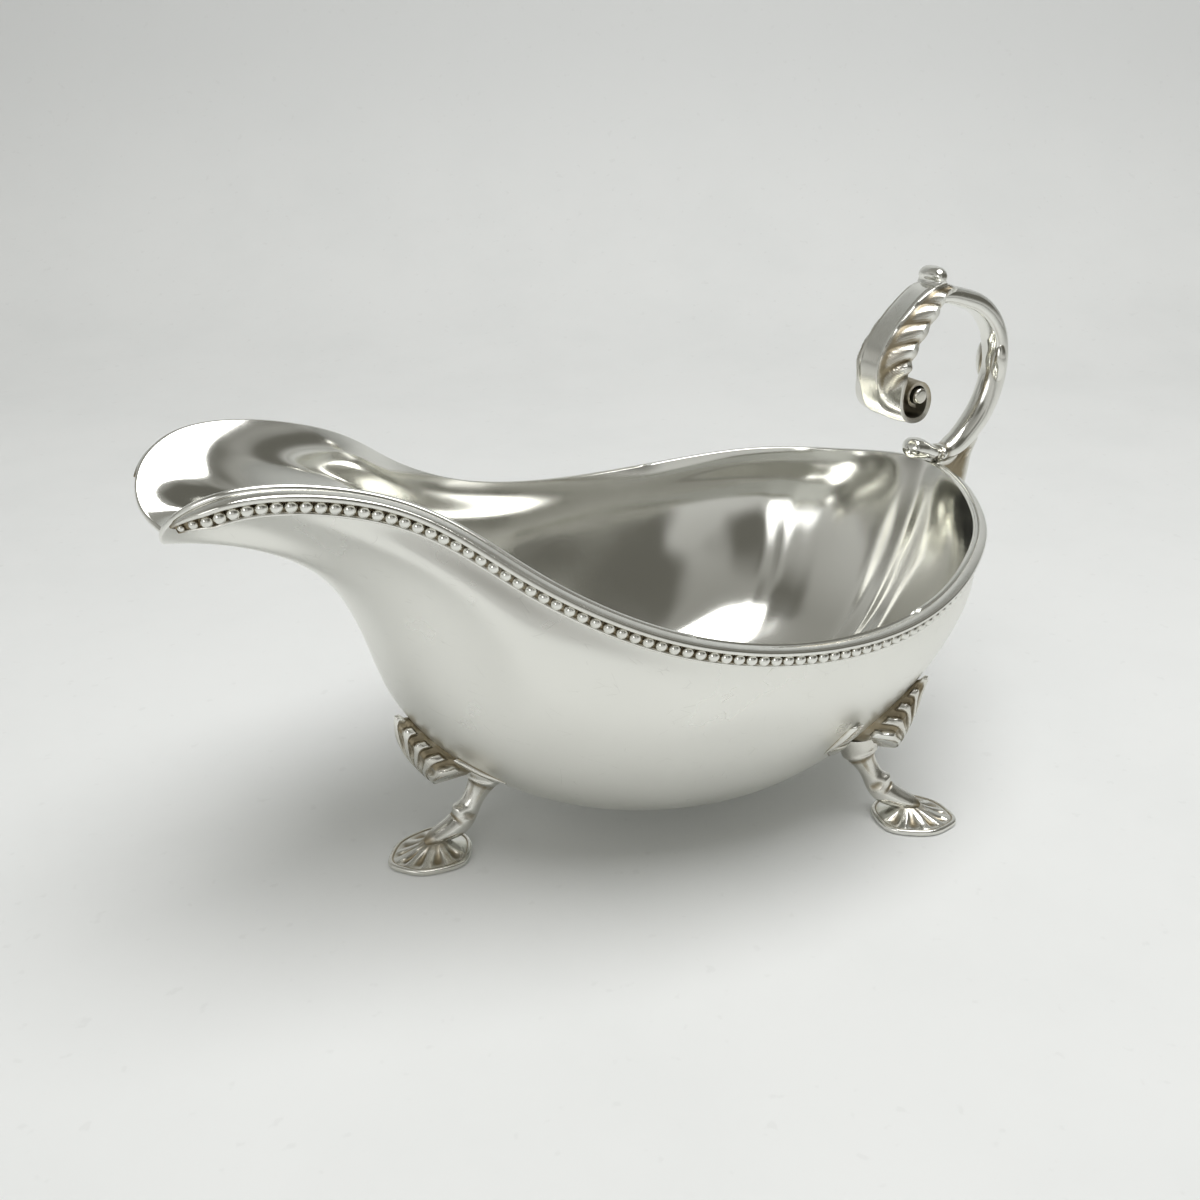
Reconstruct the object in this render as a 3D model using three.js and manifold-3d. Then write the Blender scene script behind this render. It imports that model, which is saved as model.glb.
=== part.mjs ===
// A silver sauce boat on three shell feet, with beaded edges and a leaf-capped flying scroll handle.
// Millimetres, +Z up. The lip points along -X and the handle along +X.

import * as THREE from 'three';
import { mergeVertices } from 'three/addons/utils/BufferGeometryUtils.js';
import Module from 'manifold-3d';

const wasm = await Module();
wasm.setup();

// Room left for solder between two pieces that touch
const solderGap = 0.3;

// Bowl, raised from sheet
const sheet = 1.1;
const halfLength = 85;
const halfBeam = 49.2;
const bowlFloor = 9.2;
const rimHeight = 55.3;
const lipCrown = 35;
const soleAlongShare = 0.13;
const bowlColumns = 88;
const bowlRows = 11;
const rowBendShare = 1.25;

// Edge of the sheet from the middle of the lip round to the back: the turn in degrees, the place along
// the boat as a share of halfLength, across it as a share of halfBeam, and the rise as a share of lipCrown
const rimShares = [
  [0, -1, 0, 0.65],
  [8, -1.025, 0.14, 0.723],
  [24, -0.894, 0.374, 1],
  [36, -0.629, 0.461, 0.88],
  [50, -0.42, 0.669, 0.543],
  [66, -0.159, 0.888, 0.191],
  [93, 0.329, 1, 0],
  [122, 0.684, 0.791, 0.097],
  [152, 0.895, 0.431, 0.16],
  [180, 0.979, 0, 0.22],
];

// How steeply the wall leaves the edge, in degrees below level, at turns in degrees
const wallSlopes = [
  [0, -3],
  [30, 45],
  [93, 75],
  [180, 75],
];

// Ovals that the wall passes through on its way down: front and back ends as shares of halfLength,
// half width as a share of halfBeam, how far the widest place drifts back as a share of halfLength,
// and the height as a share of the depth below the rim
const shoulderShares = { front: -0.69, back: 0.953, half: 0.99, drift: 0.094, height: 0.66 };
const ovalShares = [
  { front: -0.565, back: 0.882, half: 0.915, drift: 0.094, height: 0.603 },
  { front: -0.447, back: 0.776, half: 0.768, drift: 0.065, height: 0.299 },
  { front: -0.259, back: 0.547, half: 0.575, drift: 0.035, height: 0.054 },
];

// Beaded border, cast in two lengths and soldered outside the edge
const beadPitch = 2.35;
const beadProud = 1.95;
const beadValley = 0.95;
const borderDepth = 4.2;
const borderLipStart = 15.5;
const borderSeat = 0.5;
const borderAngle = 75;
const borderTaper = 5;
const borderTaperShare = 0.6;

// Handle, one casting: the flying scroll, its rim lobe and the bracket below it
const handleRise = 41.1;
const handleReach = 21.5;
const stemFootRadius = 2.9;
const stemSides = 10;
const stemSteps = 30;
const lobeLength = 7.8;
const knopRadius = 2.1;
const knopLength = 8.8;
const knopApart = 3.2;
const knopSides = 10;
const bracketThick = 3.8;
const bracketReach = 13;
const bracketDrop = 17;

// Leaf that caps the handle
const leafSheet = 1.5;
const leafHalfWidth = 7.2;
const leafGutter = 5.3;
const leafLobes = 5;
const leafLobeDepth = 0.7;
const leafSteps = 34;
const leafGapShare = 1.3;
const voluteCoreSides = 10;
const voluteCoreShare = 0.95;
const voluteCoreBluntShare = 8;
const thumbHalfWidth = 3.6;
const thumbRise = 3.9;
const thumbSteps = 6;
const thumbBluntShare = 2.6;

// Feet and legs, three alike
const padHalfWidth = 7.3;
const padHalfDepth = 8.7;
const padEdge = 1.4;
const padCrown = 2.3;
const padTaperShare = 0.18;
const padPoints = 24;
const padFlutes = 6;
const fluteDepth = 0.5;
const legKnee = 14;
const legSides = 10;
const ankleWide = 2.4;
const ankleKnob = 1.5;
const knobSides = 8;
const shellRise = 17.2;
const shellHalfWidth = 6.6;
const shellCrown = 6.1;
const shellFall = 3.4;
const shellEdge = 1.2;
const shellRibs = 9;
const shellTooth = 0.55;
const shellHinge = 2.2;
const tongueReach = 14.2;
const tongueRadius = 1.9;
const tongueSides = 6;
const rearLegAngle = 44.6;
const frontStandoff = 3.4;
const rearStandoff = 7.8;

const silver = new THREE.Color(0.86, 0.86, 0.84);
const warmSilver = new THREE.Color(0.8, 0.79, 0.75);

// A cubic spline through values at knots, with a held slope at an end that is given one
function spline(knots, values, startSlope, endSlope) {
  const last = knots.length - 1;
  const diagonal = new Array(last + 1).fill(2);
  const upper = new Array(last + 1).fill(0);
  const right = new Array(last + 1).fill(0);
  const slope = (i) => (values[i + 1] - values[i]) / (knots[i + 1] - knots[i]);
  const bends = new Array(last + 1).fill(0);
  if (startSlope !== undefined) {
    upper[0] = 1;
    right[0] = (6 * (slope(0) - startSlope)) / (knots[1] - knots[0]);
  }
  for (let i = 1; i <= last; i += 1) {
    const before = knots[i] - knots[i - 1];
    const after = i < last ? knots[i + 1] - knots[i] : 0;
    const held = i === last && endSlope === undefined;
    const lower = held ? 0 : before / (before + after);
    upper[i] = after / (before + after);
    if (i < last) {
      right[i] = (6 * (slope(i) - slope(i - 1))) / (before + after);
    } else if (endSlope !== undefined) {
      right[i] = (6 * (endSlope - slope(i - 1))) / before;
    }
    const factor = lower / diagonal[i - 1];
    diagonal[i] -= factor * upper[i - 1];
    right[i] -= factor * right[i - 1];
  }
  for (let i = last; i >= 0; i -= 1) {
    const next = i < last ? upper[i] * bends[i + 1] : 0;
    bends[i] = (right[i] - next) / diagonal[i];
  }
  return (at) => {
    let i = 0;
    while (i < last - 1 && at > knots[i + 1]) i += 1;
    const step = knots[i + 1] - knots[i];
    const a = (knots[i + 1] - at) / step;
    const b = (at - knots[i]) / step;
    const curve = ((a ** 3 - a) * bends[i] + (b ** 3 - b) * bends[i + 1]) * step ** 2;
    return a * values[i] + b * values[i + 1] + curve / 6;
  };
}

const column = (table, index, factor = 1) => table.map((row) => row[index] * factor);

// A closed solid through rings of points, capped at both ends by a fan to the ring's middle
// or to a given tip, and wound so that its faces point outwards
function ringSolid(rings, startTip, endTip) {
  const count = rings[0].length;
  const points = rings.flat();
  const middle = (ring) => ring.reduce((sum, p) => sum.add(p), new THREE.Vector3()).divideScalar(count);
  const tips = [startTip ?? middle(rings[0]), endTip ?? middle(rings[rings.length - 1])];
  const startIndex = points.length;
  const endIndex = points.length + 1;
  const faces = [];
  for (let r = 0; r < rings.length - 1; r += 1) {
    for (let i = 0; i < count; i += 1) {
      const a = r * count + i;
      const b = r * count + ((i + 1) % count);
      if (2 * i < count) faces.push([a, b, b + count], [a, b + count, a + count]);
      else faces.push([a, b, a + count], [b, b + count, a + count]);
    }
  }
  const top = (rings.length - 1) * count;
  for (let i = 0; i < count; i += 1) {
    const next = (i + 1) % count;
    faces.push([startIndex, next, i], [endIndex, top + i, top + next]);
  }
  const all = [...points, ...tips];
  const edge = new THREE.Vector3();
  const volume = faces.reduce((sum, [a, b, c]) => sum + all[a].dot(edge.crossVectors(all[b], all[c])), 0);
  const index = faces.flatMap(([a, b, c]) => (volume > 0 ? [a, b, c] : [a, c, b]));
  const geometry = new THREE.BufferGeometry();
  geometry.setAttribute('position', new THREE.Float32BufferAttribute(all.flatMap((p) => p.toArray()), 3));
  geometry.setIndex(index);
  return geometry;
}

// Three.js geometry to a manifold solid and back
function toSolid(geometry) {
  const bare = geometry.clone();
  bare.deleteAttribute('normal');
  bare.deleteAttribute('uv');
  const merged = mergeVertices(bare);
  return new wasm.Manifold(new wasm.Mesh({
    numProp: 3,
    vertProperties: new Float32Array(merged.attributes.position.array),
    triVerts: new Uint32Array(merged.index.array),
  }));
}

function toGeometry(solid) {
  const mesh = solid.getMesh();
  const geometry = new THREE.BufferGeometry();
  geometry.setAttribute('position', new THREE.Float32BufferAttribute(mesh.vertProperties, 3));
  geometry.setIndex(Array.from(mesh.triVerts));
  return geometry;
}

// A tube of oval section along stations that each hold a point, a half width along the side axis
// and a half depth square to it
function sweep(stations, side, sides) {
  const rings = stations.map((station, i) => {
    const before = stations[Math.max(i - 1, 0)].at;
    const after = stations[Math.min(i + 1, stations.length - 1)].at;
    const along = new THREE.Vector3().subVectors(after, before).normalize();
    const deep = new THREE.Vector3().crossVectors(along, side).normalize();
    const wide = new THREE.Vector3().crossVectors(deep, along);
    return Array.from({ length: sides }, (_, k) => {
      const angle = (2 * Math.PI * k) / sides;
      return station.at.clone()
        .addScaledVector(wide, station.wide * Math.cos(angle))
        .addScaledVector(deep, station.deep * Math.sin(angle));
    });
  });
  return ringSolid(rings);
}

// Bowl wall as a surface: a turn round the edge and a depth down the wall give a point
const turns = column(rimShares, 0, Math.PI / 180);
const rimAlong = spline(turns, column(rimShares, 1, halfLength), 0, 0);
const rimAcross = spline(turns, column(rimShares, 2, halfBeam));
const rimRise = spline(turns, column(rimShares, 3, lipCrown), 0, 0);
const wallSlope = spline(column(wallSlopes, 0, Math.PI / 180), column(wallSlopes, 1, Math.PI / 180), 0, 0);
const soleAlong = halfLength * soleAlongShare;
const bellyHeight = bowlFloor + (rimHeight - bowlFloor) * ovalShares[0].height;

function rimPoint(turn) {
  return new THREE.Vector3(rimAlong(turn), rimAcross(turn), rimHeight + rimRise(turn));
}

function ovalPoint(turn, oval, height) {
  const middle = (oval.front + oval.back) / 2;
  const reach = (oval.back - oval.front) / 2;
  const along = middle - reach * Math.cos(turn) + oval.drift * Math.sin(turn) ** 2;
  return new THREE.Vector3(halfLength * along, halfBeam * oval.half * Math.sin(turn), height);
}

// A small turn to either side gives the direction of the edge
const nudge = Math.PI / 1800;

function buildMeridian(turn) {
  const rim = rimPoint(turn);
  const shoulderHeight = bellyHeight + (rim.z - bellyHeight) * shoulderShares.height;
  const stops = [
    rim,
    ovalPoint(turn, shoulderShares, shoulderHeight),
    ...ovalShares.map((oval) => ovalPoint(turn, oval, bowlFloor + (rimHeight - bowlFloor) * oval.height)),
    new THREE.Vector3(soleAlong, 0, bowlFloor),
  ];
  const knots = [0];
  stops.slice(1).forEach((stop, i) => knots.push(knots[i] + stop.distanceTo(stops[i])));
  const from = rimPoint(Math.max(turn - nudge, 0));
  const to = rimPoint(Math.min(turn + nudge, Math.PI));
  const inward = new THREE.Vector3(to.y - from.y, from.x - to.x, 0).normalize();
  if (turn < nudge || turn > Math.PI - nudge) inward.set(turn < 1 ? 1 : -1, 0, 0);
  const slope = wallSlope(turn);
  const lead = inward.multiplyScalar(Math.cos(slope)).setZ(-Math.sin(slope));
  const x = spline(knots, stops.map((p) => p.x), lead.x);
  const y = spline(knots, stops.map((p) => p.y), lead.y);
  const z = spline(knots, stops.map((p) => p.z), lead.z, 0);
  const length = knots[knots.length - 1];
  return { length, at: (depth) => new THREE.Vector3(x(depth), y(depth), z(depth)) };
}

const meridians = new Map();

// Turns past half way round lie on the -Y side, as the mirror image of the first half
function wallPoint(turn, depthShare, depth = 0) {
  const mirrored = turn > Math.PI;
  const folded = mirrored ? 2 * Math.PI - turn : turn;
  const key = folded.toFixed(9);
  if (!meridians.has(key)) meridians.set(key, buildMeridian(folded));
  const meridian = meridians.get(key);
  const point = meridian.at(meridian.length * depthShare + depth);
  if (mirrored) point.y = -point.y;
  return point;
}

function wallNormal(turn, depthShare, depth = 0) {
  const probe = sheet / 4;
  const round = (turn + 2 * Math.PI) % (2 * Math.PI);
  const before = wallPoint((round - nudge + 2 * Math.PI) % (2 * Math.PI), depthShare, depth);
  const after = wallPoint((round + nudge) % (2 * Math.PI), depthShare, depth);
  const here = wallPoint(round, depthShare, depth);
  const lower = wallPoint(round, depthShare, depth + (depthShare < 1 ? probe : -probe));
  const down = lower.sub(here).multiplyScalar(depthShare < 1 ? 1 : -1);
  return new THREE.Vector3().crossVectors(after.sub(before), down).normalize();
}

// Lengths along the edge, measured from the middle of the lip
const arcSteps = 720;
const arcTable = [0];
for (let i = 1; i <= arcSteps; i += 1) {
  const here = rimPoint((Math.PI * i) / arcSteps);
  const last = rimPoint((Math.PI * (i - 1)) / arcSteps);
  arcTable.push(arcTable[i - 1] + here.distanceTo(last));
}

function turnAtLength(length) {
  let i = 1;
  while (i < arcSteps && arcTable[i] < length) i += 1;
  const part = (length - arcTable[i - 1]) / (arcTable[i] - arcTable[i - 1]);
  return (Math.PI * (i - 1 + part)) / arcSteps;
}

// Columns are evenly spaced along the edge, and alike on both sides
function columnTurn(index) {
  const half = bowlColumns / 2;
  const turn = turnAtLength((arcTable[arcSteps] * Math.min(index, bowlColumns - index)) / half);
  return index > half ? 2 * Math.PI - turn : turn;
}

// Rows sit closer together near the edge, where the border seats
const rowShare = (row) => (row / bowlRows) ** rowBendShare;

function wallRings(offset) {
  return Array.from({ length: bowlRows }, (_, row) => (
    Array.from({ length: bowlColumns }, (__, i) => {
      const turn = columnTurn(i);
      const share = rowShare(row);
      return wallPoint(turn, share).addScaledVector(wallNormal(turn, share), offset);
    })
  ));
}

const outerRings = wallRings(0);
const solePoint = (offset) => new THREE.Vector3(soleAlong, 0, bowlFloor - offset);

function bowlGeometry() {
  return ringSolid([...wallRings(-sheet).reverse(), ...outerRings], solePoint(-sheet), solePoint(0));
}

// Everything inside the outer wall, and the solder gap beyond it, for cutting what seats on the bowl
function seatCutter() {
  const lid = new THREE.Vector3(soleAlong, 0, rimHeight + lipCrown * rimShares[0][3]);
  return toSolid(ringSolid(wallRings(solderGap), lid, solePoint(solderGap)));
}

// The strip hangs steeply from the edge all along, whatever the slope of the wall behind it, and
// tapers in towards the tip of the lip
function stripFrame(turn) {
  const along = rimPoint(turn + nudge).sub(rimPoint(turn - nudge)).normalize();
  const slope = THREE.MathUtils.degToRad(borderAngle);
  const inward = new THREE.Vector3(along.y, -along.x, 0).normalize();
  const down = inward.clone().multiplyScalar(Math.cos(slope)).setZ(-Math.sin(slope));
  down.addScaledVector(along, -down.dot(along)).normalize();
  const outward = new THREE.Vector3().crossVectors(down, along);
  outward.multiplyScalar(-Math.sign(outward.dot(inward)));
  return { down, outward };
}

// Section of the strip: how far down it and how far out, as shares of borderDepth and of beadProud.
// The row of beads lies between the ridge along the top and the thin one at the foot.
const stripTopShares = [{ down: 0, out: 0.95 }, { down: 0.3, out: 0.9 }];
const beadDownShare = 0.57;
const stripFootShares = [{ down: 0.94, out: 0.6 }];

// The back of the strip is straight from top to foot, and clears the wall where that bulges most
function stripSeat(turn, depth) {
  const normal = wallNormal(turn, 0, depth);
  const middle = wallPoint(turn, 0).add(wallPoint(turn, 0, borderDepth)).divideScalar(2);
  const bulge = wallPoint(turn, 0, borderDepth / 2).sub(middle).dot(normal);
  return wallPoint(turn, 0, depth).addScaledVector(normal, borderSeat + Math.max(bulge, 0));
}

// Beads and hollows in turn, on a strip that is solid back to the wall
function borderGeometry(mirrored) {
  const end = arcTable[arcSteps] - bracketThick / 2 - 2 * solderGap;
  const beads = Math.round((end - borderLipStart) / beadPitch);
  const halfPitch = (end - borderLipStart) / beads / 2;
  const rings = [];
  for (let step = 0; step <= 2 * beads; step += 1) {
    const turn = turnAtLength(borderLipStart + step * halfPitch);
    const { down, outward } = stripFrame(turn);
    const bead = step % 2 === 1 ? beadProud : beadValley;
    const size = THREE.MathUtils.lerp(borderTaperShare, 1, Math.min((step * halfPitch) / borderTaper, 1));
    const onStrip = (depth, out) => rimPoint(turn)
      .addScaledVector(down, size * depth)
      .addScaledVector(outward, size * out);
    const ridge = ({ down: depth, out }) => onStrip(borderDepth * depth, beadProud * out);
    const ring = [
      stripSeat(turn, 0),
      ...stripTopShares.map(ridge),
      onStrip(borderDepth * beadDownShare, bead),
      ...stripFootShares.map(ridge),
      stripSeat(turn, borderDepth),
    ];
    if (mirrored) ring.forEach((point) => { point.y = -point.y; });
    rings.push(ring);
  }
  return ringSolid(rings);
}

// Handle frame: the origin is the middle of the stem where it crosses the back of the rim
const rimBack = rimPoint(Math.PI);
const handleOrigin = new THREE.Vector3(rimBack.x, 0, rimBack.z + solderGap + stemFootRadius);
const handlePoint = (out, up) => handleOrigin.clone().add(new THREE.Vector3(out, 0, up));
const sideways = new THREE.Vector3(0, 1, 0);

// Leaf: the middle line of its face from the top of the stem down the front and round the volute,
// outwards as shares of handleReach and upwards as shares of handleRise, then half width, gutter
// and thickness as shares of their sizes
const leafShares = [
  [-0.028, 0.893, 0.44, 0.11, 0.53],
  [-0.177, 0.91, 0.58, 0.3, 0.73],
  [-0.344, 0.903, 0.71, 0.6, 0.87],
  [-0.516, 0.852, 0.78, 0.83, 0.93],
  [-0.674, 0.779, 0.83, 0.92, 1],
  [-0.791, 0.713, 0.89, 0.96, 1],
  [-0.888, 0.642, 0.94, 1, 1],
  [-0.949, 0.572, 0.99, 1, 1],
  [-0.967, 0.506, 1, 0.94, 1],
  [-0.953, 0.438, 1, 0.79, 0.93],
  [-0.916, 0.365, 0.99, 0.55, 0.87],
  [-0.847, 0.292, 0.97, 0.28, 0.8],
  [-0.735, 0.238, 0.96, 0.11, 0.73],
  [-0.581, 0.221, 0.94, 0.04, 0.7],
  [-0.447, 0.246, 0.93, 0, 0.67],
  [-0.381, 0.311, 0.92, 0, 0.67],
  [-0.405, 0.389, 0.9, 0, 0.63],
  [-0.512, 0.44, 0.89, 0, 0.6],
  [-0.628, 0.431, 0.88, 0, 0.6],
  [-0.684, 0.38, 0.86, 0, 0.57],
];
const leafCarvedShare = 0.55;

// Rolled core of the volute: its middle, and its half depth and half height, as shares of the same
const coreShares = { out: -0.521, up: 0.365, deep: 0.09, tall: 0.047 };

function leafStations() {
  const controls = leafShares.map(([out, up]) => handlePoint(handleReach * out, handleRise * up));
  const front = new THREE.CatmullRomCurve3(controls);
  const knots = leafShares.map((_, i) => i);
  const width = spline(knots, column(leafShares, 2));
  const gutter = spline(knots, column(leafShares, 3));
  const thick = spline(knots, column(leafShares, 4));
  const stations = Array.from({ length: leafSteps + 1 }, (_, i) => {
    const share = i / leafSteps;
    const knot = (leafShares.length - 1) * share;
    const lobe = Math.abs(Math.sin((Math.PI * leafLobes * share) / leafCarvedShare));
    const carved = share < leafCarvedShare ? Math.sin((Math.PI * share) / leafCarvedShare) : 0;
    return {
      at: front.getPoint(share),
      half: leafHalfWidth * width(knot) + leafLobeDepth * lobe * carved,
      drop: leafGutter * Math.max(gutter(knot), 0),
      thick: leafSheet * thick(knot),
    };
  });
  stations.forEach((station, i) => {
    const before = stations[Math.max(i - 1, 0)].at;
    const after = stations[Math.min(i + 1, stations.length - 1)].at;
    station.along = new THREE.Vector3().subVectors(after, before).normalize();
    station.outward = new THREE.Vector3(station.along.z, 0, -station.along.x);
  });
  return stations;
}

const leaf = leafStations();

// Across the leaf a flat middle band turns down into a gutter at each side
const leafAcrossShares = [-1, -0.75, -0.45, 0.45, 0.75, 1];
const bandShare = 0.36;
const gutterBendShare = 1.4;
const gutterShare = (across) => (Math.max(Math.abs(across) - bandShare, 0) / (1 - bandShare)) ** gutterBendShare;

// The leaf as a solid, or grown all round to clear its seat on the stem
function leafSolid(grown) {
  return toSolid(ringSolid(leaf.map(({ at, half, drop, thick, along, outward }, i) => {
    const beyond = i === 0 ? -grown : i === leaf.length - 1 ? grown : 0;
    const middle = at.clone().addScaledVector(along, beyond);
    const place = (across, lift) => middle.clone()
      .addScaledVector(sideways, (half + grown) * across)
      .addScaledVector(outward, lift - drop * gutterShare(across));
    const face = leafAcrossShares.map((across) => place(across, grown));
    const back = leafAcrossShares.map((across) => place(across, -thick - grown));
    return [...face, ...back.reverse()];
  })));
}

// Side outline of the rolled thumb piece on the crest of the leaf, outwards and upwards from its seat
// as shares of thumbRise
const thumbShares = [
  [-0.46, -0.1], [-0.33, 0.18], [-0.42, 0.51], [-0.31, 0.82], [0.03, 1],
  [0.36, 0.87], [0.5, 0.54], [0.41, 0.23], [0.64, -0.08], [0.1, -0.15],
];
const thumbSeatShares = { out: -0.25, up: 0.903 };

// A bar across the boat that narrows to rounded ends, from its side outline. It stops a little
// before its very tip, which would be a point.
const cushionEndShare = 0.96;

function cushion(outline, half, bluntness) {
  const centre = outline.reduce((sum, p) => sum.add(p), new THREE.Vector3()).divideScalar(outline.length);
  return toSolid(ringSolid(Array.from({ length: thumbSteps + 1 }, (_, i) => {
    const across = Math.sin(Math.PI * cushionEndShare * (i / thumbSteps - 1 / 2));
    const size = (1 - Math.abs(across) ** bluntness) ** (1 / bluntness);
    return outline.map((point) => centre.clone().lerp(point, size).setY(half * across));
  })));
}

function leafGeometry() {
  const seat = handlePoint(handleReach * thumbSeatShares.out, handleRise * thumbSeatShares.up);
  const thumb = thumbShares.map(([out, up]) => (
    seat.clone().add(new THREE.Vector3(thumbRise * out, 0, thumbRise * up))
  ));
  const core = Array.from({ length: voluteCoreSides }, (_, i) => {
    const angle = (2 * Math.PI * i) / voluteCoreSides;
    return handlePoint(
      handleReach * (coreShares.out + coreShares.deep * Math.cos(angle)),
      handleRise * (coreShares.up + coreShares.tall * Math.sin(angle)),
    );
  });
  return toGeometry(leafSolid(0)
    .add(cushion(thumb, thumbHalfWidth, thumbBluntShare))
    .add(cushion(core, leafHalfWidth * voluteCoreShare, voluteCoreBluntShare)));
}

// Stem from the rounded lobe inside the rim, over the rim and round the loop to its root under the
// leaf: outwards and upwards as above, then half width and half depth as shares of stemFootRadius
const lobeShares = [
  [-1, 0.08, 0.24, 0.24],
  [-0.87, 0.09, 0.8, 0.66],
  [-0.62, 0.07, 1, 0.8],
  [-0.35, 0, 0.97, 0.7],
  [-0.1, -0.13, 0.8, 0.5],
  [0.18, -0.2, 0.9, 0.56],
];
const stemShares = [
  [0.242, -0.032, 0.9, 0.76],
  [0.372, 0, 0.97, 0.93],
  [0.507, 0.061, 1.02, 1.02],
  [0.656, 0.163, 1.03, 1.03],
  [0.753, 0.285, 1.03, 1.03],
  [0.786, 0.394, 1.03, 1.02],
  [0.767, 0.496, 1.03, 1],
  [0.702, 0.584, 1.02, 0.97],
  [0.544, 0.698, 0.98, 0.93],
  [0.344, 0.769, 0.95, 0.9],
  [0.14, 0.805, 0.93, 0.86],
  [-0.047, 0.83, 0.9, 0.79],
  [-0.195, 0.827, 0.79, 0.66],
  [-0.335, 0.793, 0.55, 0.41],
];
const knopShares = { out: 0.73, up: 0.425 };

function stemGeometry() {
  const lobe = lobeShares.map(([out, up, wide, deep]) => [lobeLength * out, lobeLength * up, wide, deep]);
  const rest = stemShares.map(([out, up, wide, deep]) => [handleReach * out, handleRise * up, wide, deep]);
  const controls = [...lobe, ...rest].map(([out, up, wide, deep]) => ({
    at: handlePoint(out, up),
    wide: stemFootRadius * wide,
    deep: stemFootRadius * deep,
  }));
  const curve = new THREE.CatmullRomCurve3(controls.map((c) => c.at));
  const knots = controls.map((_, i) => i);
  const wide = spline(knots, controls.map((c) => c.wide));
  const deep = spline(knots, controls.map((c) => c.deep));
  const last = controls.length - 1;
  const stations = Array.from({ length: stemSteps + 1 }, (_, i) => {
    const knot = (last * i) / stemSteps;
    return { at: curve.getPoint(i / stemSteps), wide: wide(knot), deep: deep(knot) };
  });
  return sweep(stations, sideways, stemSides);
}

// Oval knop on the inside of the loop, one on each flank of the stem
function knopGeometry(hand) {
  const knop = new THREE.SphereGeometry(knopRadius, knopSides, knopSides / 2);
  knop.scale(1, 1, knopLength / knopRadius / 2);
  const seat = handlePoint(handleReach * knopShares.out, handleRise * knopShares.up);
  knop.translate(seat.x, (hand * knopApart) / 2, seat.z);
  return knop;
}

// Bracket from the stem down to the wall, in the plane of the handle, cut to the bowl's curve.
// Outwards as shares of bracketReach from the back of the rim, upwards as shares of bracketDrop
const bracketShares = [
  [0.05, 0.02], [0.45, 0.02], [0.6, 0.12], [0.74, 0.14], [0.82, 0],
  [0.8, -0.2], [0.76, -0.41], [0.68, -0.6], [0.48, -0.78], [0.18, -0.92],
  [-0.4, -1], [-0.8, -1], [-0.8, -0.5], [0.05, -0.2],
];

function bracketSolid() {
  const outline = bracketShares.map(([out, up]) => (
    new THREE.Vector2(rimBack.x + bracketReach * out, rimBack.z + bracketDrop * up)
  ));
  const plate = new THREE.ExtrudeGeometry(new THREE.Shape(outline), { depth: bracketThick, bevelEnabled: false });
  plate.translate(0, 0, -bracketThick / 2);
  plate.rotateX(Math.PI / 2);
  return toSolid(plate);
}

function handleGeometry(cutter) {
  const solid = toSolid(stemGeometry())
    .subtract(leafSolid(solderGap * leafGapShare))
    .add(bracketSolid().subtract(cutter))
    .add(toSolid(knopGeometry(1)))
    .add(toSolid(knopGeometry(-1)));
  return toGeometry(solid);
}

// Legs stand on rays from the middle of the sole. A ray cast inwards at a height finds the wall.
const wallMesh = new THREE.Mesh(
  ringSolid(outerRings, new THREE.Vector3(soleAlong, 0, rimHeight), solePoint(0)),
  new THREE.MeshBasicMaterial({ side: THREE.DoubleSide }),
);
const caster = new THREE.Raycaster();

// The pad stands off from the wall by what it is given, at this share of the shell's height
const padShare = 0.655;

function legFrame(angle, standoff) {
  const out = new THREE.Vector3(Math.cos(angle), Math.sin(angle), 0);
  const side = new THREE.Vector3(-Math.sin(angle), Math.cos(angle), 0);
  const root = new THREE.Vector3(soleAlong, 0, 0);
  const reach = (across, height) => {
    const start = root.clone().addScaledVector(out, 2 * halfLength).addScaledVector(side, across).setZ(height);
    caster.set(start, out.clone().negate());
    const hit = caster.intersectObject(wallMesh)[0];
    return hit ? 2 * halfLength - hit.distance : 0;
  };
  const pad = reach(0, legKnee + shellRise * padShare) + standoff;
  const place = (outward, across, height) => root.clone()
    .addScaledVector(out, outward)
    .addScaledVector(side, across)
    .setZ(height);
  const under = (outward, across) => {
    const start = root.clone().addScaledVector(out, outward).addScaledVector(side, across);
    caster.set(start, new THREE.Vector3(0, 0, 1));
    return caster.intersectObject(wallMesh)[0].point.z;
  };
  return { side, reach, under, pad, place };
}

// Foot pad: a shield that narrows towards its blunt toe, crowned in the middle and fluted on top. Each
// level gives its size as a share of the pad, its height as a share of padEdge, and how much the
// flutes cut in
const padLevelShares = [
  { spread: 0.94, rise: 0, flute: 0 },
  { spread: 1, rise: 0.8, flute: 0 },
  { spread: 0.9, rise: 1, flute: 0 },
  { spread: 0.6, rise: 1.4, flute: 1 },
  { spread: 0.35, rise: 2, flute: 0.6 },
];

function padGeometry({ pad, place }) {
  const rings = padLevelShares.map(({ spread, rise, flute }) => (
    Array.from({ length: padPoints }, (_, i) => {
      const angle = (2 * Math.PI * i) / padPoints;
      const taper = 1 - padTaperShare * Math.cos(angle);
      const cut = (fluteDepth * flute * (1 - Math.cos(padFlutes * angle))) / 2;
      return place(
        pad + padHalfDepth * spread * Math.cos(angle),
        padHalfWidth * spread * taper * Math.sin(angle),
        padEdge * rise - cut,
      );
    })
  ));
  return ringSolid(rings, place(pad, 0, 0), place(pad, 0, padEdge + padCrown));
}

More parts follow.
